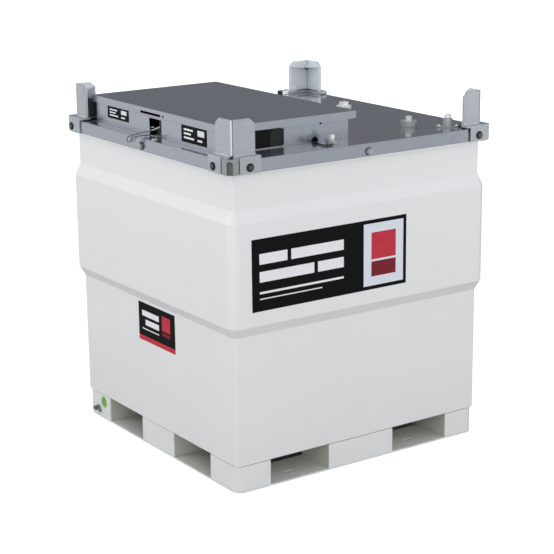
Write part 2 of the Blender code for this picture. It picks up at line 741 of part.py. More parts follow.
def grip_cutter():
    outline = rounded_box_outline((GRIP_Y[0], GRIP_Z[0]), (GRIP_Y[1], GRIP_Z[1]), GRIP_RADIUS)
    mesh_data = bmesh.new()
    face = mesh_data.faces.new([mesh_data.verts.new((LID_LEFT - 0.01, y, z)) for y, z in outline])
    raised = bmesh.ops.extrude_face_region(mesh_data, geom=[face])
    far = [item for item in raised["geom"] if isinstance(item, bmesh.types.BMVert)]
    bmesh.ops.translate(mesh_data, verts=far, vec=(0.02, 0, 0))
    return from_bmesh("lid_grip", mesh_data, None, CUTTERS)


def hinge_bases():
    """Leaf on the cabinet's right wall, with a knuckle either side of the lid's own."""
    half, room = HINGE_LEAF_HALF, KNUCKLE / 2 + KNUCKLE_GAP
    for name, y in zip(("front", "back"), HINGE_PLACES_Y):
        node = box(
            f"hinge_base_{name}", (CABINET_RIGHT + GAP, y - half, HINGE_Z - HINGE_LEAF_DROP),
            (CABINET_RIGHT + GAP + HINGE_LEAF, y + half, HINGE_Z), GREY,
        )
        for number, start in enumerate((y - half, y + room)):
            knuckle = cylinder(
                f"{name}_knuckle_{number}", (HINGE_X, start, HINGE_Z), (0, 1, 0), HINGE_RADIUS, KNUCKLE,
                None, CUTTERS, 20,
            )
            boolean(node, knuckle, "UNION")
        room_cut = box(
            f"{name}_knuckle_room", (CABINET_RIGHT, y - room, HINGE_Z - HINGE_RADIUS - 0.002),
            (HINGE_X + 0.01, y + room, HINGE_Z + 0.01), None, CUTTERS,
        )
        boolean(node, room_cut)


def lock_staple():
    """A round-bar eye that stands on the deck inside the lock notch."""
    x, y, half = STAPLE_X, STAPLE_Y, STAPLE_HALF_WIDTH
    bow = DECK_TOP + STAPLE_HEIGHT - half
    steps = 10
    points = [Vector((x, y - half, DECK_TOP + GAP))]
    for step in range(steps + 1):
        angle = math.pi - math.pi * step / steps
        points.append(Vector((x, y + half * math.cos(angle), bow + half * math.sin(angle))))
    points.append(Vector((x, y + half, DECK_TOP + GAP)))
    tube("lock_staple", points, STAPLE_BAR, ZINC, 3)


def tube(name, points, radius, material, resolution=2):
    curve = bpy.data.curves.new(name, "CURVE")
    curve.dimensions = "3D"
    curve.bevel_depth = radius
    curve.bevel_resolution = resolution
    curve.use_fill_caps = True
    spline = curve.splines.new("POLY")
    spline.points.add(len(points) - 1)
    for item, point in zip(spline.points, points):
        item.co = (*point, 1.0)
    node = bpy.data.objects.new(name, curve)
    PARTS.objects.link(node)
    curve.materials.append(material)
    return node


def smooth_route(bends, spacing):
    """Even points on a curve that passes through every bend."""
    bends = [Vector(bend) for bend in bends]
    padded = [2 * bends[0] - bends[1], *bends, 2 * bends[-1] - bends[-2]]
    fine = []
    for a, b, c, d in zip(padded, padded[1:], padded[2:], padded[3:]):
        for step in range(16):
            t = step / 16
            bow = (2 * a - 5 * b + 4 * c - d) * t ** 2 + (3 * b - a - 3 * c + d) * t ** 3
            fine.append(0.5 * (2 * b + (c - a) * t + bow))
    fine.append(bends[-1])
    travelled = [0.0]
    for before, after in zip(fine, fine[1:]):
        travelled.append(travelled[-1] + (after - before).length)
    count = round(travelled[-1] / spacing)
    points, place = [], 0
    for number in range(count + 1):
        want = travelled[-1] * number / count
        while place < len(fine) - 2 and travelled[place + 1] < want:
            place += 1
        share = (want - travelled[place]) / (travelled[place + 1] - travelled[place])
        points.append(fine[place].lerp(fine[place + 1], share))
    return points


def threaded_plug(name, place, socket, head):
    """A low round socket on the deck, closed by a plug with a square head."""
    (x, y), base = place, DECK_TOP + GAP
    radius, height = socket
    node = cylinder(name, (x, y, base), (0, 0, 1), radius, height, ZINC)
    half = head[0] / 2
    square = box(
        name + "_head", (x - half, y - half, base + height - 0.002),
        (x + half, y + half, base + height + head[1]), None, CUTTERS,
    )
    return boolean(node, square, "UNION")


def vent():
    """A breather: flange with two tabs, round body and a low domed cap."""
    base = DECK_TOP + GAP
    reach, tab = VENT_TAB
    tangent = math.acos((VENT_WAIST - tab) / reach)
    flange = []
    for side in (0, math.pi):
        for centre, radius, start, end in (
            (reach, tab, -tangent, tangent), (0, VENT_WAIST, tangent, math.pi - tangent),
        ):
            for step in range(9):
                angle = side + start + (end - start) * step / 8
                flange.append((
                    centre * math.cos(side) + radius * math.cos(angle), radius * math.sin(angle),
                ))
    place = Matrix.Translation((*VENT_PLACE, 0)) @ Matrix.Rotation(math.radians(VENT_TURN), 4, "Z")
    prism("vent_flange", flange, base, base + VENT_FLANGE_SHEET, ZINC, place=place)
    mesh = bpy.data.meshes.new("vent_cap")
    edges = [(i, i + 1) for i in range(len(VENT_PROFILE) - 1)]
    mesh.from_pydata([(radius, 0, base + z) for radius, z in VENT_PROFILE], edges, [])
    node = bpy.data.objects.new("vent_cap", mesh)
    PARTS.objects.link(node)
    mesh.materials.append(ZINC)
    node.location = (*VENT_PLACE, 0)
    screw = node.modifiers.new("turn", "SCREW")
    screw.axis = "Z"
    screw.steps = screw.render_steps = ROUND_STEPS
    screw.use_merge_vertices = True
    screw.merge_threshold = 0.0001
    screw.use_smooth_shade = True


def fittings():
    threaded_plug("dip_plug", DIP_PLACE, DIP_SOCKET, DIP_HEAD)
    threaded_plug("fill_plug", FILL_PLACE, FILL_SOCKET, FILL_HEAD)
    threaded_plug("level_plug", GAUGE_PLACE, GAUGE_SOCKET, GAUGE_HEAD)
    vent()


def wires():
    tube("lock_lanyard", smooth_route(LANYARD_ROUTE, 5 * LANYARD_RADIUS), LANYARD_RADIUS, ZINC)
    tube("gauge_cable", smooth_route(CABLE_ROUTE, 5 * CABLE_RADIUS), CABLE_RADIUS, RUBBER)


def rim_studs():
    for name, turn in (("front", 0), ("right", 90), ("back", 180), ("left", 270)):
        along = STUD_ALONG if name in ("front", "back") else -STUD_ALONG
        foot_place = (along, -RIM_HALF - GAP, STUD_Z)
        node = cylinder(
            f"rim_stud_{name}", foot_place, (0, -1, 0), STUD_RADIUS, STUD_REACH - GAP, ZINC, steps=24
        )
        washer = cylinder(f"{name}_washer", foot_place, (0, -1, 0), *STUD_WASHER, None, CUTTERS, 24)
        boolean(node, washer, "UNION")
        node.data.transform(corner_place(turn))
        washer.data.transform(corner_place(turn))


def earth_stud():
    """Earthing stud with a wing nut, low on the left side at the back corner foot."""
    (y, z), face = EARTH_PLACE, -BODY_HALF - GAP
    node = cylinder("earth_stud", (face, y, z), (-1, 0, 0), *EARTH_STUD, ZINC, steps=16)
    nut = cylinder("earth_nut", (face, y, z), (-1, 0, 0), *EARTH_NUT, None, CUTTERS, 16)
    (half_y, half_z), (near, far) = EARTH_WING, EARTH_WING_OUT
    wings = box(
        "earth_wings", (face - far, y - half_y, z - half_z), (face - near, y + half_y, z + half_z),
        None, CUTTERS,
    )
    boolean(node, nut, "UNION")
    boolean(node, wings, "UNION")


def buffer_block():
    """Black rubber block that stands inside the back left post."""
    node = box(
        "rubber_buffer_back_left", (*BUFFER_LOW, BRACKET_TOP + GAP), (*BUFFER_HIGH, BUFFER_TOP), RUBBER
    )
    bevel = node.modifiers.new("edge", "BEVEL")
    bevel.width = BUFFER_EDGE
    bevel.segments = 3
    bevel.limit_method = "ANGLE"


clear_scene()
PARTS = new_collection("bunded_fuel_tank")
CUTTERS = new_collection("cutters")
WHITE = paint("white_paint", (0.80, 0.80, 0.80), 0.45)
GREY = paint("grey_paint", (0.19, 0.20, 0.22), 0.25)
GALVANISED = paint("galvanised_steel", (0.52, 0.55, 0.57), 0.45, 0.8)
ZINC = paint("zinc_plated_steel", (0.62, 0.62, 0.61), 0.35, 0.9)
RUBBER = paint("black_rubber", (0.015, 0.016, 0.017), 0.7)

bund_shell()
fork_base()
bund_floor()
ring_plate(
    "bund_top_frame", TOP_FRAME_HALF, TOP_FRAME_HALF - TOP_FRAME_WIDTH, BODY_TOP + GAP, RIM_BOTTOM - GAP,
    WHITE,
)
deck_plate()
rims()
corners()
cabinet_walls()
port_flaps()
lid()
hinge_bases()
lock_staple()
fittings()
wires()
rim_studs()
earth_stud()
buffer_block()
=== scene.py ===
import json
import math

import bmesh
import bpy
from mathutils import Matrix, Vector


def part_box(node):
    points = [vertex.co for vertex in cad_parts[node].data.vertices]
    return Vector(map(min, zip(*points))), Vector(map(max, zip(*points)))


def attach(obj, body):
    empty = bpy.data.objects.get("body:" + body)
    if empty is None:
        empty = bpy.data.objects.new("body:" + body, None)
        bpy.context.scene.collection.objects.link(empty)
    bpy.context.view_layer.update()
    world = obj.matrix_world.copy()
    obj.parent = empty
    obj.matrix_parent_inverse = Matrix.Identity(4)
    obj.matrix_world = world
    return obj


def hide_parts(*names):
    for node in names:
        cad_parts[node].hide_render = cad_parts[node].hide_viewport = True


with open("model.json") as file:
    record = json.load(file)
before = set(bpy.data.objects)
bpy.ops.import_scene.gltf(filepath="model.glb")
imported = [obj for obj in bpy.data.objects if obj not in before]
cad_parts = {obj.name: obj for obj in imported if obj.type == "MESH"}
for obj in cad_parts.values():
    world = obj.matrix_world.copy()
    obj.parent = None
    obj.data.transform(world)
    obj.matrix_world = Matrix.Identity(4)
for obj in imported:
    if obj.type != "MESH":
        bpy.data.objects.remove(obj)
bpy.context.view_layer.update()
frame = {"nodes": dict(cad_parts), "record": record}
NODES = frame["nodes"]

# Faces of the solids that details sit on, in metres
BODY_FACE = 0.5525
BELT_FACE = 0.5758
RIM_FACE = 0.5765
BRACKET_FACE = 0.582
BASE_TOP = 0.006
POCKET_ROOF = 0.104
DECK = 1.211
BRACKET_TOP = 1.2235
POST_FACE = 0.5565
POST_INSIDE = 0.5485
GUSSET_UNDERSIDE = 1.3245
CABINET_FRONT = -0.442
CABINET_LEFT = -0.527
CABINET_RIGHT = 0.022
CABINET_TOP = 1.308
LID_LEFT = -0.529
# Distances from the middle to the two edges of a fork pocket
FRONT_POCKET = (0.1485, 0.409)
SIDE_POCKET = (0.117, 0.376)
BOLT_HEIGHT = 1.1848


# Camera and cords

def make_camera():
    """The photograph's long lens, a little above the deck, in front of the near left corner."""
    data = bpy.data.cameras.new("camera")
    data.sensor_width = 36.0
    data.lens = 105.21
    data.shift_x = -0.0021
    data.shift_y = -0.0003
    camera = bpy.data.objects.new("camera", data)
    bpy.context.scene.collection.objects.link(camera)
    camera.location = (-3.4648, -5.0728, 2.2444)
    camera.rotation_euler = [math.radians(angle) for angle in (74.9941, 0.6059, -34.5843)]
    bpy.context.scene.camera = camera


LANYARD_RADIUS = 0.0015
LANYARD_ROUTE = (
    (-0.480, -0.006, 1.231), (-0.500, -0.006, 1.233), (-0.530, 0.001, 1.235), (-0.552, 0.028, 1.229),
    (-0.562, 0.050, 1.222), (-0.571, 0.064, 1.2175), (-0.580, 0.077, 1.2135), (-0.5845, 0.091, 1.207),
    (-0.585, 0.1025, 1.2005), (-0.585, 0.1060, 1.1935), (-0.5845, 0.1000, 1.1865), (-0.584, 0.087, 1.1880),
    (-0.584, 0.070, 1.1990), (-0.582, 0.057, 1.2090), (-0.571, 0.037, 1.2155), (-0.556, 0.018, 1.218),
    (-0.540, 0.003, 1.220), (-0.533, -0.008, 1.2185), (-0.541, -0.0165, 1.2150), (-0.558, -0.014, 1.2137),
    (-0.572, -0.011, 1.2145), (-0.5815, -0.008, 1.2105), (-0.584, 0.001, 1.2020), (-0.584, 0.0115, 1.1955),
)
CABLE_RADIUS = 0.0025
CABLE_ROUTE = (
    (-0.122, -0.425, 1.2142), (-0.124, -0.442, 1.2142), (-0.132, -0.462, 1.2142), (-0.143, -0.485, 1.2142),
    (-0.148, -0.508, 1.2142), (-0.141, -0.528, 1.2142), (-0.124, -0.534, 1.2142), (-0.1105, -0.5275, 1.2155),
)


def smooth_route(bends, spacing):
    """Even points on a curve that passes through every bend."""
    bends = [Vector(bend) for bend in bends]
    padded = [2 * bends[0] - bends[1], *bends, 2 * bends[-1] - bends[-2]]
    fine = []
    for a, b, c, d in zip(padded, padded[1:], padded[2:], padded[3:]):
        for step in range(16):
            t = step / 16
            bow = (2 * a - 5 * b + 4 * c - d) * t ** 2 + (3 * b - a - 3 * c + d) * t ** 3
            fine.append(0.5 * (2 * b + (c - a) * t + bow))
    fine.append(bends[-1])
    travelled = [0.0]
    for before, after in zip(fine, fine[1:]):
        travelled.append(travelled[-1] + (after - before).length)
    count = round(travelled[-1] / spacing)
    points, place = [], 0
    for number in range(count + 1):
        want = travelled[-1] * number / count
        while place < len(fine) - 2 and travelled[place + 1] < want:
            place += 1
        share = (want - travelled[place]) / (travelled[place + 1] - travelled[place])
        points.append(fine[place].lerp(fine[place + 1], share))
    return points


# Materials

class Look:
    """A Principled material whose colour, roughness and bump come from its own nodes."""

    def __init__(self, name, roughness, metallic=0.0, coat=0.0, coat_roughness=0.05, specular=0.5):
        self.material = bpy.data.materials.new(name)
        self.material.use_nodes = True
        self.tree = self.material.node_tree
        self.shader = self.tree.nodes["Principled BSDF"]
        self.shader.inputs["Roughness"].default_value = roughness
        self.shader.inputs["Metallic"].default_value = metallic
        self.shader.inputs["Coat Weight"].default_value = coat
        self.shader.inputs["Coat Roughness"].default_value = coat_roughness
        self.shader.inputs["Specular IOR Level"].default_value = specular
        self.where = self.tree.nodes.new("ShaderNodeTexCoord").outputs["Object"]

    def node(self, kind, **settings):
        made = self.tree.nodes.new(kind)
        for key, value in settings.items():
            setattr(made, key, value)
        return made

    def feed(self, socket, value):
        if isinstance(value, bpy.types.NodeSocket):
            self.tree.links.new(value, socket)
        else:
            socket.default_value = value

    def noise(self, scale, detail=3.0):
        made = self.node("ShaderNodeTexNoise")
        self.feed(made.inputs["Vector"], self.where)
        made.inputs["Scale"].default_value = scale
        made.inputs["Detail"].default_value = detail
        return made.outputs["Fac"]

    def cells(self, scale):
        made = self.node("ShaderNodeTexVoronoi")
        self.feed(made.inputs["Vector"], self.where)
        made.inputs["Scale"].default_value = scale
        return made

    def span(self, value, low, high, to_low=0.0, to_high=1.0):
        """Maps low..high to to_low..to_high, held at both ends."""
        made = self.node("ShaderNodeMapRange", clamp=True)
        self.feed(made.inputs["Value"], value)
        for socket, number in zip(made.inputs[1:5], (low, high, to_low, to_high)):
            socket.default_value = number
        return made.outputs["Result"]

    def maths(self, operation, a, b):
        made = self.node("ShaderNodeMath", operation=operation)
        self.feed(made.inputs[0], a)
        self.feed(made.inputs[1], b)
        return made.outputs["Value"]

    def times(self, first, *others):
        """All the values multiplied together."""
        for other in others:
            first = self.maths("MULTIPLY", first, other)
        return first

    def mix(self, share, a, b):
        made = self.node("ShaderNodeMix", data_type="RGBA")
        self.feed(made.inputs[0], share)
        for socket, value in ((made.inputs[6], a), (made.inputs[7], b)):
            self.feed(socket, (*value, 1.0) if isinstance(value, tuple) and len(value) == 3 else value)
        return made.outputs[2]

    def axis(self, letter):
        """One of the object's own coordinates, in metres."""
        made = self.node("ShaderNodeSeparateXYZ")
        self.feed(made.inputs[0], self.where)
        return made.outputs[letter]

    def from_middle(self):
        """How far a point lies from the middle, across and in depth."""
        return [self.maths("ABSOLUTE", self.axis(letter), 0.0) for letter in "XY"]

    def colour(self, value):
        self.feed(self.shader.inputs["Base Color"], value)
        return self

    def rough(self, value):
        self.feed(self.shader.inputs["Roughness"], value)
        return self

    def bump(self, height, distance, strength=1.0):
        made = self.node("ShaderNodeBump")
        made.inputs["Strength"].default_value = strength
        made.inputs["Distance"].default_value = distance
        self.feed(made.inputs["Height"], height)
        self.tree.links.new(made.outputs["Normal"], self.shader.inputs["Normal"])
        return self


def white_paint():
    """White powder coat: faint mottle, soiled low down, and dirty in the fork pockets, with painted light and
    painted shade there.
    """
    look = Look("white_powder_coat", 0.42, coat=0.15, coat_roughness=0.25)
    height = look.axis("Z")
    broad = look.mix(look.noise(2.6, 4.0), (0.785, 0.79, 0.795), (0.825, 0.83, 0.835))
    grime = look.times(look.span(height, 0.0, 0.34, 1.0, 0.0), look.noise(11.0, 6.0))
    soiled = look.mix(look.times(grime, 0.22), broad, (0.60, 0.59, 0.56))
    specks = look.span(look.noise(95.0, 2.0), 0.74, 0.80)
    speckled = look.mix(look.times(specks, 0.25), soiled, (0.55, 0.53, 0.50))
    # Dirt in the fork pockets, with painted light deep inside and painted shade where the channels cross.
    share, pocket_dirt_and_light = pocket_dirt_and_painted_light(look, height)
    look.colour(look.mix(share, speckled, pocket_dirt_and_light))
    look.rough(look.span(look.noise(38.0, 3.0), 0.3, 0.7, 0.36, 0.50))
    return look.bump(look.noise(430.0, 2.0), 0.0004, 0.12).material


def pocket_dirt_and_painted_light(look, height):
    """How much of the pocket colour covers a point inside the fork pockets, and that colour: dirt, painted
    lighter deeper in, and painted near-black shade where the channels cross.
    """
    wide, deep = look.from_middle()
    reach, corner = look.maths("MAXIMUM", wide, deep), look.maths("MINIMUM", wide, deep)
    inside = look.times(
        look.span(reach, BODY_FACE - 0.0028, BODY_FACE - 0.0012, 1.0, 0.0),
        look.span(corner, 0.505, 0.512, 1.0, 0.0),
        look.span(height, POCKET_ROOF - 0.0004, POCKET_ROOF + 0.0004, 1.0, 0.0),
    )
    floor = look.span(height, BASE_TOP + 0.0001, BASE_TOP + 0.0004, 1.0, 0.0)
    on_walls = 0.92
    on_floor = look.span(reach, BODY_FACE - 0.11, BODY_FACE - 0.003, 0.95, 0.60)
    cleaner = look.times(floor, look.maths("SUBTRACT", on_walls, on_floor))
    share = look.times(inside, look.maths("SUBTRACT", on_walls, cleaner))
    lengthwise = look.span(look.maths("SUBTRACT", deep, wide), -0.01, 0.01)
    # Painted light: the pocket colour is painted darker at the mouth and lighter deeper in, where less light
    # reaches.
    mouth = look.span(reach, BODY_FACE - 0.15, BODY_FACE - 0.01)
    painted_lighter = look.mix(mouth, (0.86, 0.87, 0.80), (0.58, 0.59, 0.53))
    dirt_with_painted_light = look.mix(look.times(lengthwise, floor), (0.50, 0.51, 0.46), painted_lighter)
    # Painted shade: the floor is painted near-black where the fork channels cross.
    painted_shade_at_crossing = look.times(
        look.maths("LESS_THAN", deep, SIDE_POCKET[1] + 0.002),
        look.maths("LESS_THAN", wide, FRONT_POCKET[1] - 0.003),
        floor, 0.95,
    )
    return share, look.mix(painted_shade_at_crossing, dirt_with_painted_light, (0.03, 0.03, 0.028))


def grey_paint():
    """Glossy metallic grey: a bright flake under a clear coat, dusty in patches."""
    look = Look("grey_metallic_coat", 0.24, metallic=0.85, coat=1.0, coat_roughness=0.03)
    broad = look.mix(look.noise(3.4, 4.0), (0.395, 0.420, 0.470), (0.435, 0.460, 0.510))
    dust = look.times(look.span(look.noise(9.0, 5.0), 0.45, 0.8), 0.08)
    look.colour(look.mix(dust, broad, (0.50, 0.51, 0.52)))
    look.rough(look.span(look.noise(30.0, 3.0), 0.3, 0.7, 0.24, 0.29))
    return look.bump(look.noise(24.0, 2.0), 0.0002, 0.012).material


def galvanised(name="hot_dip_galvanised", tint=(1.0, 1.0, 1.0), bends=False):
    """Fine grey spangle. With bends, it is a post's, with painted highlights and painted shade on it."""
    look = Look(name, 0.45, metallic=0.4)
    spangle = look.cells(130.0)
    grain = look.node("ShaderNodeSeparateColor")
    look.feed(grain.inputs[0], spangle.outputs["Color"])
    dark, light, cloud, mark = (
        tuple(part * share for part, share in zip(colour, tint))
        for colour in ((0.400, 0.430, 0.458), (0.455, 0.485, 0.515), (0.52, 0.545, 0.56), (0.36, 0.36, 0.335))
    )
    crystals = look.mix(grain.outputs[0], dark, light)
    clouded = look.times(look.span(look.noise(12.0, 4.0), 0.45, 0.75), 0.35)
    stained = look.times(look.span(look.noise(8.0, 4.0), 0.62, 0.85), 0.22)
    colour = look.mix(stained, look.mix(clouded, crystals, cloud), mark)
    look.colour(post_painted_light(look, colour) if bends else colour)
    look.rough(look.span(grain.outputs[1], 0.0, 1.0, 0.40, 0.52))
    ripple = look.maths("ADD", look.noise(110.0, 3.0), look.times(spangle.outputs["Distance"], 0.3))
    return look.bump(ripple, 0.0005, 0.12).material


def post_painted_light(look, colour):
    """A post's painted light: a painted highlight and a painted dark reflection along its outer bend, inner
    faces painted lighter, painted shade along the inner crease and a painted shadow under its gusset.
    """
    wide, deep = look.from_middle()
    reach, corner = look.maths("MAXIMUM", wide, deep), look.maths("MINIMUM", wide, deep)
    lead = look.maths("SUBTRACT", wide, deep)
    outer = look.maths("GREATER_THAN", reach, (POST_FACE + POST_INSIDE) / 2)
    inner = look.maths("SUBTRACT", 1.0, outer)
    # Painted light: the inner faces are painted lighter.
    colour = look.mix(look.times(inner, 0.75), colour, (0.86, 0.89, 0.93))
    # Painted shadow under the gusset, darkest in the inner corner.
    away = look.maths("SUBTRACT", POST_INSIDE, corner)
    below = look.maths("SUBTRACT", GUSSET_UNDERSIDE, look.axis("Z"))
    spread = look.maths("ADD", look.maths("DIVIDE", away, 0.028), look.maths("DIVIDE", below, 0.026))
    shaded = look.times(look.span(spread, 0.55, 1.0, 0.9, 0.0), look.maths("GREATER_THAN", below, 0.0))
    colour = look.mix(look.times(shaded, inner), colour, (0.04, 0.045, 0.05))
    # Painted highlight and painted dark reflection along the outer bend, painted shade along the inner
    # crease.
    soft_edge = 0.0012
    for low, high, where, paint in (
        (-0.0040, 0.0035, outer, (0.84, 0.86, 0.87)),
        (-0.0095, -0.0045, outer, (0.14, 0.15, 0.16)),
        (-0.0022, 0.0022, inner, (0.12, 0.13, 0.14)),
    ):
        rising = look.span(lead, low, low + soft_edge)
        falling = look.span(lead, high - soft_edge, high, 1.0, 0.0)
        colour = look.mix(look.times(rising, falling, where, 0.85), colour, paint)
    return colour


def zinc():
    look = Look("bright_zinc_plate", 0.38, metallic=0.7)
    broad = look.mix(look.noise(60.0, 4.0), (0.68, 0.70, 0.71), (0.80, 0.81, 0.80))
    look.colour(look.mix(look.span(look.noise(190.0, 3.0), 0.58, 0.8), broad, (0.55, 0.56, 0.56)))
    look.rough(look.span(look.noise(240.0, 3.0), 0.3, 0.7, 0.30, 0.48))
    return look.bump(look.noise(700.0, 2.0), 0.0002, 0.2).material


def worn_zinc():
    """Dull, weathered zinc, as on wire rope and old fixings."""
    look = Look("weathered_zinc", 0.5, metallic=0.55)
    broad = look.mix(look.noise(70.0, 4.0), (0.13, 0.135, 0.145), (0.24, 0.245, 0.25))
    look.colour(look.mix(look.span(look.noise(160.0, 3.0), 0.55, 0.8), broad, (0.34, 0.34, 0.33)))
    look.rough(look.span(look.noise(210.0, 3.0), 0.3, 0.7, 0.40, 0.62))
    return look.bump(look.noise(600.0, 3.0), 0.0002, 0.3).material


def bare_steel(name="mottled_steel", bright_above=None):
    """Turned and threaded steel, grey and mottled, with a bright head above a height."""
    look = Look(name, 0.5, metallic=0.45)
    broad = look.mix(look.noise(85.0, 5.0), (0.30, 0.315, 0.33), (0.48, 0.495, 0.505))
    colour = look.mix(look.span(look.noise(230.0, 3.0), 0.58, 0.78), broad, (0.62, 0.63, 0.63))
    if bright_above:
        head = look.mix(look.noise(120.0, 4.0), (0.80, 0.82, 0.82), (0.93, 0.94, 0.94))
        colour = look.mix(look.span(look.axis("Z"), bright_above, bright_above + 0.0004), colour, head)
    look.colour(colour)
    look.rough(look.span(look.noise(150.0, 3.0), 0.3, 0.7, 0.42, 0.60))
    return look.bump(look.noise(500.0, 3.0), 0.0003, 0.3).material


def wire_rope():
    look = Look("dulled_wire", 0.55, metallic=0.1, specular=0.3)
    look.colour(look.mix(look.noise(90.0, 4.0), (0.022, 0.024, 0.027), (0.058, 0.061, 0.065)))
    look.rough(look.span(look.noise(200.0, 3.0), 0.3, 0.7, 0.40, 0.60))
    return look.bump(look.noise(600.0, 3.0), 0.0002, 0.3).material


def primer():
    look = Look("olive_primer", 0.6)
    look.colour(look.mix(look.noise(25.0, 5.0), (0.145, 0.155, 0.130), (0.205, 0.215, 0.185)))
    look.rough(look.span(look.noise(90.0, 3.0), 0.3, 0.7, 0.52, 0.70))
    return look.bump(look.noise(400.0, 2.0), 0.0003, 0.2).material


def rubber():
    look = Look("black_rubber", 0.62, specular=0.35)
    look.colour(look.mix(look.noise(80.0, 5.0), (0.010, 0.010, 0.011), (0.024, 0.025, 0.026)))
    look.rough(look.span(look.noise(55.0, 4.0), 0.3, 0.7, 0.5, 0.75))
    return look.bump(look.noise(900.0, 3.0), 0.0003, 0.4).material


def flap_rubber():
    """The ports' flaps: the half beyond the slit is painted lighter, painted light on that half folded
    towards the lamps.
    """
    look = Look("flap_rubber", 0.55, specular=0.12)
    # Painted light: beyond the slit the flap is painted lighter.
    painted_lighter = look.span(look.axis("X"), -0.3190, -0.3160)
    plain = look.mix(look.noise(70.0, 4.0), (0.005, 0.004, 0.006), (0.009, 0.008, 0.010))
    painted_lit_half = look.mix(look.noise(24.0, 5.0), (0.020, 0.023, 0.023), (0.034, 0.037, 0.036))
    look.colour(look.mix(painted_lighter, plain, painted_lit_half))
    look.rough(look.span(look.noise(50.0, 4.0), 0.3, 0.7, 0.45, 0.65))
    return look.bump(look.noise(300.0, 3.0), 0.0003, 0.3).material


def black_oxide():
    look = Look("black_oxide_steel", 0.42, specular=0.2)
    look.colour(look.mix(look.noise(140.0, 4.0), (0.012, 0.013, 0.015), (0.034, 0.036, 0.040)))
    look.rough(look.span(look.noise(200.0, 3.0), 0.3, 0.7, 0.30, 0.48))
    return look.bump(look.noise(800.0, 2.0), 0.0002, 0.25).material


def film(name, dark, light, roughness=0.5):
    """Printed vinyl: a plain colour with the faint mottle and orange peel of the paint under it."""
    look = Look(name, roughness, specular=0.08)
    look.colour(look.mix(look.noise(30.0, 4.0), dark, light))
    look.rough(look.span(look.noise(70.0, 3.0), 0.3, 0.7, roughness - 0.06, roughness + 0.08))
    return look.bump(look.noise(300.0, 2.0), 0.0003, 0.10).material


MATERIALS = {
    "white": white_paint(),
    "grey": grey_paint(),
    "galvanised": galvanised(),
    "post": galvanised("galvanised_post", bends=True),
    "shoe": galvanised("galvanised_casting", tint=(0.74, 0.74, 0.70)),
    "flap": flap_rubber(),
    "zinc": zinc(),
    "worn": worn_zinc(),
    "steel": bare_steel(),
    "plug_dip": bare_steel("dip_plug_steel", DECK + 0.0212),
    "plug_fill": bare_steel("fill_plug_steel", DECK + 0.0020),
    "plug_level": bare_steel("level_plug_steel", DECK + 0.0158),
    "vent": bare_steel("vent_steel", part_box("vent_cap")[1][2] - 0.016),
    "wire": wire_rope(),
    "primer": primer(),
    "rubber": rubber(),
    "bolt": black_oxide(),
    "film_black": film("film_black", (0.003, 0.0033, 0.0036), (0.006, 0.0063, 0.0068)),
    "film_white": film("film_white", (0.78, 0.79, 0.81), (0.85, 0.86, 0.88)),
    "film_pale": film("film_pale", (0.68, 0.72, 0.80), (0.76, 0.79, 0.86)),
    "film_red": film("film_red", (0.50, 0.035, 0.055), (0.58, 0.050, 0.070)),
    "film_dark_red": film("film_dark_red", (0.17, 0.018, 0.028), (0.22, 0.026, 0.036)),
    "film_green": film("film_green", (0.10, 0.26, 0.06), (0.34, 0.56, 0.20)),
    "film_pale_green": film("film_pale_green", (0.52, 0.72, 0.36), (0.58, 0.77, 0.42)),
}


# Building pieces

def piece(name, mesh_data, materials, body="tank", angle=35, bevel=0.0, segments=2):
    """A closed mesh in its place, riding on a body, with a finish from one or more materials."""
    bmesh.ops.recalc_face_normals(mesh_data, faces=mesh_data.faces)
    mesh = bpy.data.meshes.new(name)
    mesh_data.to_mesh(mesh)
    mesh_data.free()
    made = bpy.data.objects.new(name, mesh)
    bpy.context.scene.collection.objects.link(made)
    names = [materials] if isinstance(materials, str) else materials
    for key in names:
        mesh.materials.append(MATERIALS[key])
    mesh.shade_smooth()
    mesh.set_sharp_from_angle(angle=math.radians(angle))
    if bevel:
        soften(made, bevel, segments)
    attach(made, body)
    return made


def soften(made, width, segments=2):
    """Rounds every fold and cut edge."""
    edge = made.modifiers.new("edge", "BEVEL")
    edge.width = width
    edge.segments = segments
    edge.limit_method = "ANGLE"
    edge.angle_limit = math.radians(35)
    edge.use_clamp_overlap = True
    normals = made.modifiers.new("normals", "WEIGHTED_NORMAL")
    normals.weight = 100


def about_z(degrees):
    return Matrix.Rotation(math.radians(degrees), 4, "Z")


def move(mesh_data, matrix):
    bmesh.ops.transform(mesh_data, matrix=matrix, verts=mesh_data.verts)


def slab(mesh_data, low, high, index=0):
    """A block between two corners, for a larger mesh."""
    low, high = Vector(low), Vector(high)
    place = Matrix.Translation((low + high) / 2) @ Matrix.Diagonal((*(high - low), 1.0))
    made = bmesh.ops.create_cube(mesh_data, size=1.0, matrix=place)
    for face in {face for vert in made["verts"] for face in vert.link_faces}:
        face.material_index = index
    return made["verts"]


def plate(name, low, high, material, bevel, segments=2, place=None):
    """One plate as a piece, between two corners or, with place, moved there after that."""
    mesh_data = bmesh.new()
    slab(mesh_data, low, high)
    if place:
        move(mesh_data, place)
    return piece(name, mesh_data, material, bevel=bevel, segments=segments)


def ring(mesh_data, place, radius, height, steps):
    """The corners of a circle round place's own Z axis."""
    angles = [2 * math.pi * i / steps for i in range(steps)]
    return [
        mesh_data.verts.new(place @ Vector((radius * math.cos(angle), radius * math.sin(angle), height)))
        for angle in angles
    ]


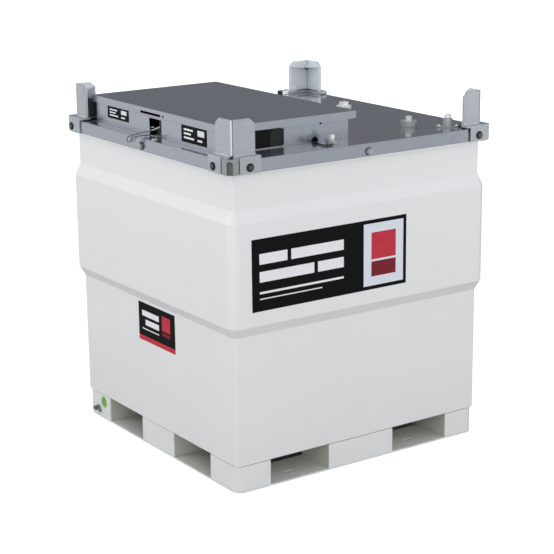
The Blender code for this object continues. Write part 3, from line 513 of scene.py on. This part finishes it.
def turned(mesh_data, profile, place, steps=32, index=0):
    """A closed turned form: profile gives (radius, height) from its foot on the axis to its top."""
    rings = []
    for radius, height in profile:
        if radius < 1e-6:
            rings.append([mesh_data.verts.new(place @ Vector((0, 0, height)))])
        else:
            rings.append(ring(mesh_data, place, radius, height, steps))
    for lower, upper in zip(rings, rings[1:]):
        for i in range(steps):
            j = (i + 1) % steps
            if len(lower) == 1:
                corners = (lower[0], upper[j], upper[i])
            elif len(upper) == 1:
                corners = (lower[i], lower[j], upper[0])
            else:
                corners = (lower[i], lower[j], upper[j], upper[i])
            mesh_data.faces.new(corners).material_index = index


def extruded(mesh_data, outline, depth, place):
    """A flat outline in the XY plane, carried up by depth, then moved by place."""
    face = mesh_data.faces.new([mesh_data.verts.new((x, y, 0.0)) for x, y in outline])
    raised = bmesh.ops.extrude_face_region(mesh_data, geom=[face])
    top = [item for item in raised["geom"] if isinstance(item, bmesh.types.BMVert)]
    bmesh.ops.translate(mesh_data, verts=top, vec=(0, 0, depth))
    bmesh.ops.transform(mesh_data, matrix=place, verts=top + list(face.verts))


def facing(place, outward, turn=0.0):
    """Matrix that puts local +Z along outward, at place."""
    aim = Vector(outward).to_track_quat("Z", "Y").to_matrix().to_4x4()
    return Matrix.Translation(Vector(place)) @ aim @ Matrix.Rotation(turn, 4, "Z")


def hexagon(across):
    """A nut's outline, by the width between two of its flats."""
    radius = across / math.sqrt(3)
    angles = [math.radians(60 * i) for i in range(6)]
    return [(radius * math.cos(angle), radius * math.sin(angle)) for angle in angles]


def frames_along(points):
    """Each point, with two directions across the path and its distance along it."""
    side = (points[1] - points[0]).normalized().orthogonal().normalized()
    travelled, frames = 0.0, []
    for number, point in enumerate(points):
        before = points[max(number - 1, 0)]
        after = points[min(number + 1, len(points) - 1)]
        tangent = (after - before).normalized()
        side = (side - tangent * side.dot(tangent)).normalized()
        travelled += (point - before).length
        frames.append((point, side.copy(), tangent.cross(side), travelled))
    return frames


def sweep(mesh_data, points, radius, sides=8):
    """A round bar along points. radius is one number, or a function of the distance along it."""
    angles = [2 * math.pi * i / sides for i in range(sides)]
    rings = []
    for point, side, other, travelled in frames_along([Vector(point) for point in points]):
        size = radius(travelled) if callable(radius) else radius
        rings.append([
            mesh_data.verts.new(point + size * (side * math.cos(angle) + other * math.sin(angle)))
            for angle in angles
        ])
    for lower, upper in zip(rings, rings[1:]):
        for i in range(sides):
            j = (i + 1) % sides
            mesh_data.faces.new((lower[i], lower[j], upper[j], upper[i]))
    mesh_data.faces.new(list(reversed(rings[0])))
    mesh_data.faces.new(rings[-1])


def lay_rope(mesh_data, points, radius, strands=6, pitch=0.016, sides=5):
    """Wire rope: a core and the strands laid round it."""
    thin = radius / 3
    lay = radius - thin
    frames = frames_along(points)
    sweep(mesh_data, points, thin * 1.2, 6)
    for strand in range(strands):
        start = 2 * math.pi * strand / strands
        laid = []
        for point, across, other, distance in frames:
            angle = start + 2 * math.pi * distance / pitch
            laid.append(point + lay * (across * math.cos(angle) + other * math.sin(angle)))
        sweep(mesh_data, laid, thin, sides)


def make_cords():
    """The lock's wire, and the gauge's cable, along the routes of their solids."""
    fine = smooth_route(LANYARD_ROUTE, 0.0016)
    mesh_data = bmesh.new()
    lay_rope(mesh_data, fine, LANYARD_RADIUS)
    wire = piece("lanyard_wire", mesh_data, "wire")
    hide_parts("lock_lanyard")
    eye = Vector(LANYARD_ROUTE[-1])
    fixings = [lanyard_eyelet(eye), lanyard_ferrule()]
    smooth_route(LANYARD_ROUTE, 5 * LANYARD_RADIUS)
    mesh_data = bmesh.new()
    route = smooth_route(CABLE_ROUTE, 0.003)
    sweep(mesh_data, route, CABLE_RADIUS, 14)
    cable = piece("level_cable", mesh_data, "rubber")
    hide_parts("gauge_cable")
    mesh_data = bmesh.new()
    turned(mesh_data, [
        (0, 0), (0.0045, 0), (0.0052, 0.001), (0.0052, 0.009), (0.0040, 0.011), (0.0040, 0.020), (0, 0.020),
    ], facing((-0.1205, -0.409, 1.2165), (-0.10, -1.0, -0.14)), 20)
    plug = piece("level_cable_connector", mesh_data, "bolt")
    smooth_route(CABLE_ROUTE, 5 * CABLE_RADIUS)


def lanyard_eyelet(end):
    """Pressed lug on the rim's stud, with the crimp that holds the wire."""
    mesh_data = bmesh.new()
    outer, inner, thick, steps = 0.0115, 0.0098, 0.0012, 28
    place = Matrix.Translation((-0.5822, 0.0125, 1.182)) @ Matrix.Rotation(math.radians(-90), 4, "Y")
    section = ((outer, 0), (outer, thick), (inner, thick), (inner, 0))
    rings = [ring(mesh_data, place, radius, height, steps) for radius, height in section]
    for lower, upper in zip(rings, rings[1:] + rings[:1]):
        for i in range(steps):
            j = (i + 1) % steps
            mesh_data.faces.new((lower[i], lower[j], upper[j], upper[i]))
    crimp = [end + Vector((0, -0.0075, 0.0040)), end + Vector((0, 0.0010, -0.0006))]
    sweep(mesh_data, crimp, 0.0026, 12)
    return piece("lanyard_eyelet", mesh_data, "worn")


def lanyard_ferrule():
    """The loop that goes round the staple's leg."""
    mesh_data = bmesh.new()
    start = Vector(LANYARD_ROUTE[0])
    loop = [start]
    for step in range(1, 11):
        angle = math.pi * step / 10
        inward, aside = 0.004 * math.sin(angle) - 0.0022 * step, -0.0085 * (1 - math.cos(angle))
        loop.append(start + Vector((inward, aside, 0)))
    sweep(mesh_data, loop, LANYARD_RADIUS, 8)
    return piece("lanyard_loop", mesh_data, "wire")


# The solids' finishes

def dress_nodes():
    """Every solid that shows gets its finish, and edges as round as folded or cut steel has."""
    finishes = {
        "white_paint": ("white", 0.0012), "grey_paint": ("grey", 0.0010),
        "galvanised_steel": ("galvanised", 0.0006), "zinc_plated_steel": ("steel", 0.0005),
        "black_rubber": ("rubber", 0.0),
    }
    others = {
        "lid_latch": "bolt", "earth_stud": "worn", "lock_staple": "zinc",
        "dip_plug": "plug_dip", "fill_plug": "plug_fill", "level_plug": "plug_level", "vent_cap": "vent",
        "post_front_left": "post", "post_front_right": "post",
        "post_back_right": "post", "post_back_left": "post",
        "corner_shoe_front_left": "shoe", "corner_shoe_back_right": "shoe",
        "port_flap_front": "flap", "port_flap_back": "flap",
    }
    widths = {
        "bund_shell": 0.0, "cabinet_lid": 0.0011, "deck_plate": 0.0, "rubber_buffer_back_left": 0.0,
        "hinge_base_front": 0.0004, "hinge_base_back": 0.0004,
    }
    for part in frame["record"]["subparts"]:
        node = NODES[part["node"]]
        key, width = finishes[part["material_slot"]]
        node.material_slots[0].material = MATERIALS[others.get(part["node"], key)]
        width = widths.get(part["node"], width)
        if node.hide_render:
            continue
        weld = node.modifiers.new("weld", "WELD")
        weld.merge_threshold = 0.00001
        flat = node.modifiers.new("flat", "DECIMATE")
        flat.decimate_type = "DISSOLVE"
        flat.angle_limit = math.radians(1)
        if width:
            soften(node, width)


# Signs

def sign_frame(corner, across, up, outward):
    """Matrix from a sign's own (along, up, out) to its place."""
    return Matrix.Translation(Vector(corner)) @ Matrix((
        (across[0], up[0], outward[0], 0),
        (across[1], up[1], outward[1], 0),
        (across[2], up[2], outward[2], 0),
        (0, 0, 0, 1),
    ))


def printed(name, place, size, fields, base="film_black"):
    """A film of width and height, with fields (left, bottom, right, top, film) printed on it."""
    films = [base]
    for field in fields:
        if field[4] not in films:
            films.append(field[4])
    thick, ink = 0.0004, 0.00004
    mesh_data = bmesh.new()
    slab(mesh_data, (0, 0, 0.00002), (size[0], size[1], thick))
    for number, (left, bottom, right, top, key) in enumerate(fields, start=1):
        slab(mesh_data, (left, bottom, 0.0003), (right, top, thick + ink * number), films.index(key))
    move(mesh_data, place)
    return piece(name, mesh_data, films)


def signs():
    """Plain fields in place of the printing: one sign in front, one on the left, two on the cabinet."""
    front = sign_frame((-0.493, -BELT_FACE, 0.670), (1, 0, 0), (0, 0, 1), (0, -1, 0))
    fields = [(0.485, 0.014, 0.667, 0.246, "film_pale")]
    fields += [
        (0.032, 0.168, 0.150, 0.206, "film_white"), (0.166, 0.168, 0.395, 0.206, "film_white"),
        (0.032, 0.104, 0.265, 0.142, "film_white"), (0.281, 0.104, 0.395, 0.142, "film_white"),
        (0.032, 0.062, 0.395, 0.070, "film_white"), (0.032, 0.042, 0.300, 0.046, "film_white"),
        (0.520, 0.112, 0.632, 0.212, "film_red"), (0.520, 0.048, 0.632, 0.104, "film_dark_red"),
    ]
    printed("front_sign", front, (0.681, 0.260), fields)
    left = sign_frame((-BODY_FACE, 0.119, 0.419), (0, -1, 0), (0, 0, 1), (-1, 0, 0))
    fields = [
        (0.0, 0.0, 0.266, 0.019, "film_red"),
        (0.026, 0.098, 0.150, 0.120, "film_white"), (0.050, 0.064, 0.150, 0.086, "film_white"),
        (0.026, 0.046, 0.150, 0.050, "film_white"),
        (0.172, 0.070, 0.232, 0.128, "film_red"), (0.172, 0.050, 0.232, 0.064, "film_dark_red"),
    ]
    printed("left_sign", left, (0.266, 0.150), fields)
    for name, start, width, bottom, height in (
        ("cabinet_label_back", 0.353, 0.163, 1.2385, 0.0450),
        ("cabinet_label_front", -0.188, 0.170, 1.2235, 0.0610),
    ):
        place = sign_frame((CABINET_LEFT, start, bottom), (0, -1, 0), (0, 0, 1), (-1, 0, 0))
        fields = [(width * 0.64, height * 0.52, width * 0.90, height * 0.86, "film_pale")]
        for row, reach in enumerate((0.50, 0.38, 0.46)):
            low = height * (0.22 + 0.24 * row)
            fields.append((width * 0.10, low, width * reach, low + height * 0.11, "film_white"))
        fields.append((width * 0.64, height * 0.20, width * 0.82, height * 0.32, "film_white"))
        printed(name, place, (width, height), fields)


def earth_mark():
    """Round green mark beside the earthing stud, pale at its edge."""
    mesh_data = bmesh.new()
    place = facing((-BODY_FACE, 0.429, 0.072), (-1, 0, 0))
    turned(mesh_data, [(0, 0), (0.026, 0), (0.026, 0.0003), (0, 0.0003)], place, 40, 0)
    turned(mesh_data, [(0, 0.0002), (0.0205, 0.0002), (0.0205, 0.0005), (0, 0.0005)], place, 40, 1)
    piece("earth_mark", mesh_data, ["film_pale_green", "film_green"])


# Fixings

def bracket_bolts():
    """Two black socket-head bolts on washers in each corner bracket, one a face."""
    open_one, closed_one = (0.085, 0.101), (0.0325, 0.054)
    places = []
    for turn, (near, far) in ((0, open_one), (180, open_one), (90, closed_one), (270, closed_one)):
        first = facing((-BRACKET_FACE + near, -BRACKET_FACE, BOLT_HEIGHT), (0, -1, 0), 0.3)
        second = facing((-BRACKET_FACE, -BRACKET_FACE + far, BOLT_HEIGHT), (-1, 0, 0), 0.7)
        places += [about_z(turn) @ first, about_z(turn) @ second]
    for number, place in enumerate(places):
        mesh_data = bmesh.new()
        turned(mesh_data, [
            (0, -0.0004), (0.0150, -0.0004), (0.0150, 0.0013), (0.0145, 0.0017), (0.0129, 0.0017),
            (0.0128, 0.0022), (0.0128, 0.0046), (0.0112, 0.0059), (0, 0.0059),
        ], place, 36)
        turned(mesh_data, [
            (0, 0.0050), (0.0064, 0.0050), (0.0064, 0.0061), (0.0060, 0.0063), (0.0036, 0.0063),
            (0.0034, 0.0061), (0.0033, 0.0056), (0, 0.0055),
        ], place, 36, 1)
        piece(f"bracket_bolt_{number + 1}", mesh_data, ["bolt", "worn"], angle=30)


def vent_bolts():
    """A bright hexagon bolt and washer on each tab of the vent's flange."""
    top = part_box("vent_flange")[1][2]
    for name, along, across in (("left", 0.425, -0.471), ("right", 0.479, -0.507)):
        mesh_data = bmesh.new()
        place = facing((along, across, top), (0, 0, 1), 0.4)
        turned(mesh_data, [
            (0, -0.0004), (0.0088, -0.0004), (0.0088, 0.0010), (0.0084, 0.0014), (0, 0.0014),
        ], place, 28)
        extruded(mesh_data, hexagon(0.011), 0.0030, place @ Matrix.Translation((0, 0, 0.0012)))
        turned(mesh_data, [(0, 0.0038), (0.0046, 0.0038), (0.0044, 0.0048), (0, 0.0051)], place, 20)
        piece(f"vent_bolt_{name}", mesh_data, "zinc", bevel=0.0003)


def shoe_backings():
    """Behind each corner shoe, a primed plate across the corner, and above the shoe a black slab of painted
    shadow in the bracket's slit.
    """
    for name, turn in (("front_left", 0), ("back_right", 180)):
        plate(
            f"shoe_backing_{name}", (-0.017, -0.0015, 1.1640), (0.017, 0.0015, 1.2105), "primer", 0.0004,
            place=about_z(turn) @ Matrix.Translation((-0.562, -0.562, 0)) @ about_z(-45),
        )
        # Painted shadow: a black slab in the slit above the shoe.
        plate(
            f"corner_slit_shadow_{name}", (-0.0055, -0.001, 1.2112), (0.0055, 0.001, 1.2275), "rubber", 0.0003,
            place=about_z(turn) @ Matrix.Translation((-0.5600, -0.5660, 0)) @ about_z(-45),
        )


def post_welds():
    """Lumpy fillet welds where each post's outer faces stand on its bracket."""
    start, spacing = -POST_FACE + 0.009, 0.0011
    for name, turn, leg in (
        ("front_left", 0, 0.098), ("front_right", 90, 0.085),
        ("back_right", 180, 0.098), ("back_left", 270, 0.085),
    ):
        length = leg - 0.010
        count = round(length / spacing)
        mesh_data = bmesh.new()
        for swapped in (False, True):
            points = []
            for number in range(count + 1):
                place = (start + length * number / count, -POST_FACE - 0.0006, BRACKET_TOP + 0.0014)
                points.append((place[1], place[0], place[2]) if swapped else place)
            sweep(mesh_data, points, lambda far: 0.0026 + 0.0006 * math.sin(far * 1100) ** 2, 10)
        move(mesh_data, about_z(turn))
        piece(f"post_weld_{name}", mesh_data, "zinc", angle=60)


def small_screw(name, place, outward, radius=0.0045, material="bolt", body="tank"):
    """A round head with a sunk drive."""
    mesh_data = bmesh.new()
    turned(mesh_data, [
        (0, -0.0004), (radius, -0.0004), (radius, 0.0008), (radius * 0.85, 0.0018), (radius * 0.5, 0.0024),
        (radius * 0.35, 0.0024), (radius * 0.3, 0.0014), (0, 0.0014),
    ], facing(place, outward), 20)
    return piece(name, mesh_data, material, body)


def screws():
    small_screw("wall_screw_left", (-0.269, CABINET_FRONT, 1.2795), (0, -1, 0), 0.0045, "zinc")
    small_screw("wall_screw_right", (-0.101, CABINET_FRONT, 1.2770), (0, -1, 0))
    small_screw("lip_screw", (LID_LEFT, -0.0637, 1.2943), (-1, 0, 0), 0.0040, "bolt", "lid")


def lock_details():
    """What shows in the lock's notch: a bright finger on the wall, two plates and a rivet."""
    mesh_data = bmesh.new()
    sweep(mesh_data, [
        (-0.5215, 0.0520, 1.2280), (-0.5190, 0.0440, 1.2288), (-0.5150, 0.0340, 1.2313),
        (-0.5150, 0.0080, 1.2403), (-0.5150, -0.0176, 1.2494),
    ], 0.0027, 12)
    prong = [(-0.5215, 0.0480, 1.2400), (-0.5170, 0.0400, 1.2408), (-0.5150, 0.0260, 1.2430)]
    sweep(mesh_data, prong, 0.0018, 10)
    slab(mesh_data, (-0.5235, 0.0440, 1.2200), (-0.5210, 0.0600, 1.2460))
    piece("lock_finger", mesh_data, "zinc", bevel=0.0004)
    foot = DECK + 0.0001
    plate("lock_foot_plate", (-0.5235, -0.0050, foot), (-0.4990, 0.0370, DECK + 0.0016), "zinc", 0.0004)
    plate("lock_back_plate", (-0.4850, -0.0440, foot), (-0.4830, 0.0560, DECK + 0.0260), "primer", 0.0004)
    mesh_data = bmesh.new()
    turned(mesh_data, [
        (0, -0.0001), (0.0125, -0.0001), (0.0125, 0.0008), (0.0105, 0.0024), (0.0070, 0.0036), (0, 0.0040),
    ], Matrix.Translation((-0.5540, -0.0430, DECK)), 32)
    piece("deck_rivet_lock", mesh_data, "zinc")


def back_corner_details():
    """Caps on the far bracket's arms with a black slab of painted shade beside the cap, a tag, and a black
    bead of painted contact shadow at the foot of its post.
    """
    foot = DECK + 0.0002
    plate("arm_cap_back", (0.4210, 0.5500, foot), (0.4640, 0.5790, DECK + 0.0175), "zinc", 0.0015)
    # Painted shade: a black slab on the shaded side of the arm's cap.
    plate("arm_cap_shade", (0.4130, 0.5520, foot), (0.4208, 0.5770, DECK + 0.0165), "rubber", 0.0010)
    plate("arm_cap_right", (0.5500, 0.4460, foot), (0.5790, 0.4980, DECK + 0.0165), "galvanised", 0.0060, 4)
    plate("post_tag_back_right", (0.4605, 0.5474, 1.2300), (0.4886, 0.5487, 1.2460), "film_white", 0.0004)
    # Painted contact shadow: a black bead along the foot of the post's inner faces.
    mesh_data = bmesh.new()
    sweep(mesh_data, [
        (0.4970, 0.5480, 1.2248), (0.5200, 0.5478, 1.2250), (0.5440, 0.5474, 1.2252),
        (0.5474, 0.5440, 1.2252), (0.5478, 0.5100, 1.2250), (0.5480, 0.4700, 1.2248),
    ], 0.0017, 10)
    piece("post_foot_shadow_back_right", mesh_data, "rubber")


def seams():
    """Paint and sealant that close the joints of the deck and the cabinet, and black pads of painted shade in
    the gaps at the closed brackets.
    """
    mesh_data = bmesh.new()
    for turn in (0, 90, 180, 270):
        strip = slab(mesh_data, (-0.469, -RIM_FACE - 0.0003, 1.2034), (0.469, -RIM_FACE + 0.0004, 1.2063))
        bmesh.ops.transform(mesh_data, matrix=about_z(turn), verts=strip)
    piece("deck_seam", mesh_data, "grey", bevel=0.0002)
    mesh_data = bmesh.new()
    foot, head = DECK + 0.0001, DECK + 0.0013
    front, left, right = CABINET_FRONT, CABINET_LEFT, CABINET_RIGHT
    notch_front, notch_back = -0.050, 0.065
    slab(mesh_data, (left + 0.001, front - 0.0003, foot), (right, front + 0.0004, head))
    slab(mesh_data, (left + 0.001, -front - 0.0004, foot), (right, -front + 0.0003, head))
    slab(mesh_data, (left - 0.0003, front, foot), (left + 0.0004, notch_front, head))
    slab(mesh_data, (left - 0.0003, notch_back, foot), (left + 0.0004, -front, head))
    for low, high in ((front - 0.0003, front + 0.0025), (-front - 0.0025, -front + 0.0003)):
        slab(mesh_data, (right - 0.0035, low, foot), (right + 0.0003, high, CABINET_TOP))
    piece("cabinet_seam", mesh_data, "grey", bevel=0.0002)
    # Painted shade: black pads in the gaps at the closed brackets' corners.
    for name, turn in (("back_left", 0), ("front_right", 180)):
        plate(
            f"corner_gap_shadow_{name}", (-0.018, -0.001, DECK - 0.0050), (0.024, 0.001, DECK + 0.0060), "rubber",
            0.0003, place=about_z(turn) @ Matrix.Translation((-0.5375, 0.4805, 0)) @ about_z(45),
        )


def stud_rings():
    """Black sealing ring round the washer of each stud on the rim."""
    radius, thick = 0.0135, 0.0014
    section = []
    for step in range(9):
        angle = 2 * math.pi * step / 8
        section.append((radius + thick * math.cos(angle), 0.0009 + thick * math.sin(angle)))
    for name, turn in (("left", 0), ("front", 90), ("right", 180), ("back", 270)):
        low, high = (Vector(corner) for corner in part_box(f"rim_stud_{name}"))
        middle = (low + high) / 2
        outward = about_z(turn) @ Vector((-1, 0, 0))
        middle -= outward * middle.dot(outward)
        mesh_data = bmesh.new()
        turned(mesh_data, section, facing(middle + outward * RIM_FACE, outward), 36)
        bmesh.ops.remove_doubles(mesh_data, verts=mesh_data.verts, dist=0.00001)
        piece(f"stud_ring_{name}", mesh_data, "rubber", angle=80)


def earth_wing():
    """Wings and tail of the earthing nut, one up and two down."""
    mesh_data = bmesh.new()
    hub = Vector((-BODY_FACE - 0.0070, 0.4675, 0.0385))
    for across, up in ((0.000, 0.012), (0.017, -0.011), (-0.017, -0.011)):
        tip = hub + Vector((-0.0020, across, up))
        path = [hub, hub.lerp(tip, 0.4), hub.lerp(tip, 0.8), tip]
        sweep(mesh_data, path, lambda far: 0.0042 + 0.08 * min(far, 0.02), 12)
    piece("earth_wing", mesh_data, "worn", bevel=0.0008)


def pocket_edges():
    """Folded edges of the feet beside each fork pocket, and the sealed seam over the feet."""
    fold, seam_end = 0.013, 0.520
    for name, turn, (near, far) in (
        ("front", 0, FRONT_POCKET), ("right", 90, SIDE_POCKET), ("back", 180, FRONT_POCKET),
        ("left", 270, SIDE_POCKET),
    ):
        mesh_data = bmesh.new()
        for sign in (-1, 1):
            for edge, width in ((near, -fold), (far, fold)):
                start, end = sorted((sign * edge, sign * (edge + width)))
                slab(mesh_data, (start, -BODY_FACE - 0.0010, 0.0008), (end, -BODY_FACE + 0.0004, 0.0994))
        for start, end in ((-seam_end, -far), (-near, near), (far, seam_end)):
            slab(
                mesh_data, (start, -BODY_FACE - 0.0007, POCKET_ROOF - 0.0014),
                (end, -BODY_FACE + 0.0004, POCKET_ROOF + 0.0010),
            )
        move(mesh_data, about_z(turn))
        piece(f"pocket_edges_{name}", mesh_data, "white", bevel=0.0003)


# Stage and light

def stage():
    """A pale floor, plain white to the camera as in the photograph, but shaded under the tank."""
    mesh_data = bmesh.new()
    slab(mesh_data, (-4, -4, -0.05), (4, 4, -0.0006))
    mesh = bpy.data.meshes.new("floor")
    mesh_data.to_mesh(mesh)
    mesh_data.free()
    floor = bpy.data.objects.new("floor", mesh)
    bpy.context.scene.collection.objects.link(floor)
    look = Look("pale_floor", 0.6, specular=0.2)
    look.colour((0.5, 0.5, 0.5, 1.0))
    glow = look.node("ShaderNodeEmission")
    glow.inputs["Strength"].default_value = 1.35
    seen = look.node("ShaderNodeLightPath").outputs["Is Camera Ray"]
    open_floor = look.maths("GREATER_THAN", look.maths("MAXIMUM", *look.from_middle()), BODY_FACE - 0.02)
    share = look.node("ShaderNodeMixShader")
    look.feed(share.inputs[0], look.times(seen, open_floor, 0.75))
    look.tree.links.new(look.shader.outputs[0], share.inputs[1])
    look.tree.links.new(glow.outputs[0], share.inputs[2])
    look.tree.links.new(share.outputs[0], look.tree.nodes["Material Output"].inputs["Surface"])
    mesh.materials.append(look.material)


def studio():
    """A bright studio at the front and left, darker behind. What the camera sees of it is plain white."""
    world = bpy.data.worlds.new("studio")
    world.use_nodes = True
    bpy.context.scene.world = world
    tree = world.node_tree
    back = tree.nodes["Background"]
    where = tree.nodes.new("ShaderNodeTexCoord").outputs["Generated"]
    aim = tree.nodes.new("ShaderNodeVectorMath")
    aim.operation = "DOT_PRODUCT"
    aim.inputs[1].default_value = (0.86, 0.51, 0.0)
    tree.links.new(where, aim.inputs[0])
    fall = tree.nodes.new("ShaderNodeMapRange")
    fall.interpolation_type = "SMOOTHSTEP"
    for socket, number in zip(fall.inputs[1:5], (-0.35, 0.65, 0.98, 0.165)):
        socket.default_value = number
    tree.links.new(aim.outputs["Value"], fall.inputs["Value"])
    tree.links.new(fall.outputs["Result"], back.inputs["Strength"])
    tone = tree.nodes.new("ShaderNodeMix")
    tone.data_type = "RGBA"
    tone.inputs[6].default_value = (0.92, 0.97, 1.08, 1.0)
    tone.inputs[7].default_value = (0.98, 0.99, 1.0, 1.0)
    tree.links.new(fall.outputs["Result"], tone.inputs[0])
    tree.links.new(tone.outputs[2], back.inputs["Color"])
    white = tree.nodes.new("ShaderNodeBackground")
    white.inputs["Strength"].default_value = 1.3
    white.inputs["Color"].default_value = (1, 1, 1, 1)
    share = tree.nodes.new("ShaderNodeMixShader")
    tree.links.new(tree.nodes.new("ShaderNodeLightPath").outputs["Is Camera Ray"], share.inputs[0])
    tree.links.new(back.outputs[0], share.inputs[1])
    tree.links.new(white.outputs[0], share.inputs[2])
    tree.links.new(share.outputs[0], tree.nodes["World Output"].inputs["Surface"])
    bpy.context.scene.view_settings.view_transform = "Standard"
    softbox("key", (-4.0, 2.0, 2.0), 2.0, 28)
    softbox("fill", (4.6, -3.3, 1.7), 1.6, 55)
    softbox("low", (-2.0, -4.2, 0.45), 1.4, 17, 0.05)
    softbox("front", (-2.8, -4.4, 3.4), 1.8, 13, 1.3)


def softbox(name, place, size, power, aim_height=0.7):
    """A square area light that faces the tank's axis."""
    data = bpy.data.lights.new(name, "AREA")
    data.shape = "RECTANGLE"
    data.size = data.size_y = size
    data.energy = power
    light = bpy.data.objects.new(name, data)
    bpy.context.scene.collection.objects.link(light)
    light.location = place
    light.rotation_euler = (Vector((0, 0, aim_height)) - Vector(place)).to_track_quat("-Z", "Y").to_euler()


make_camera()
make_cords()
dress_nodes()
signs()
earth_mark()
bracket_bolts()
vent_bolts()
shoe_backings()
post_welds()
screws()
lock_details()
back_corner_details()
seams()
stud_rings()
earth_wing()
pocket_edges()
stage()
studio()
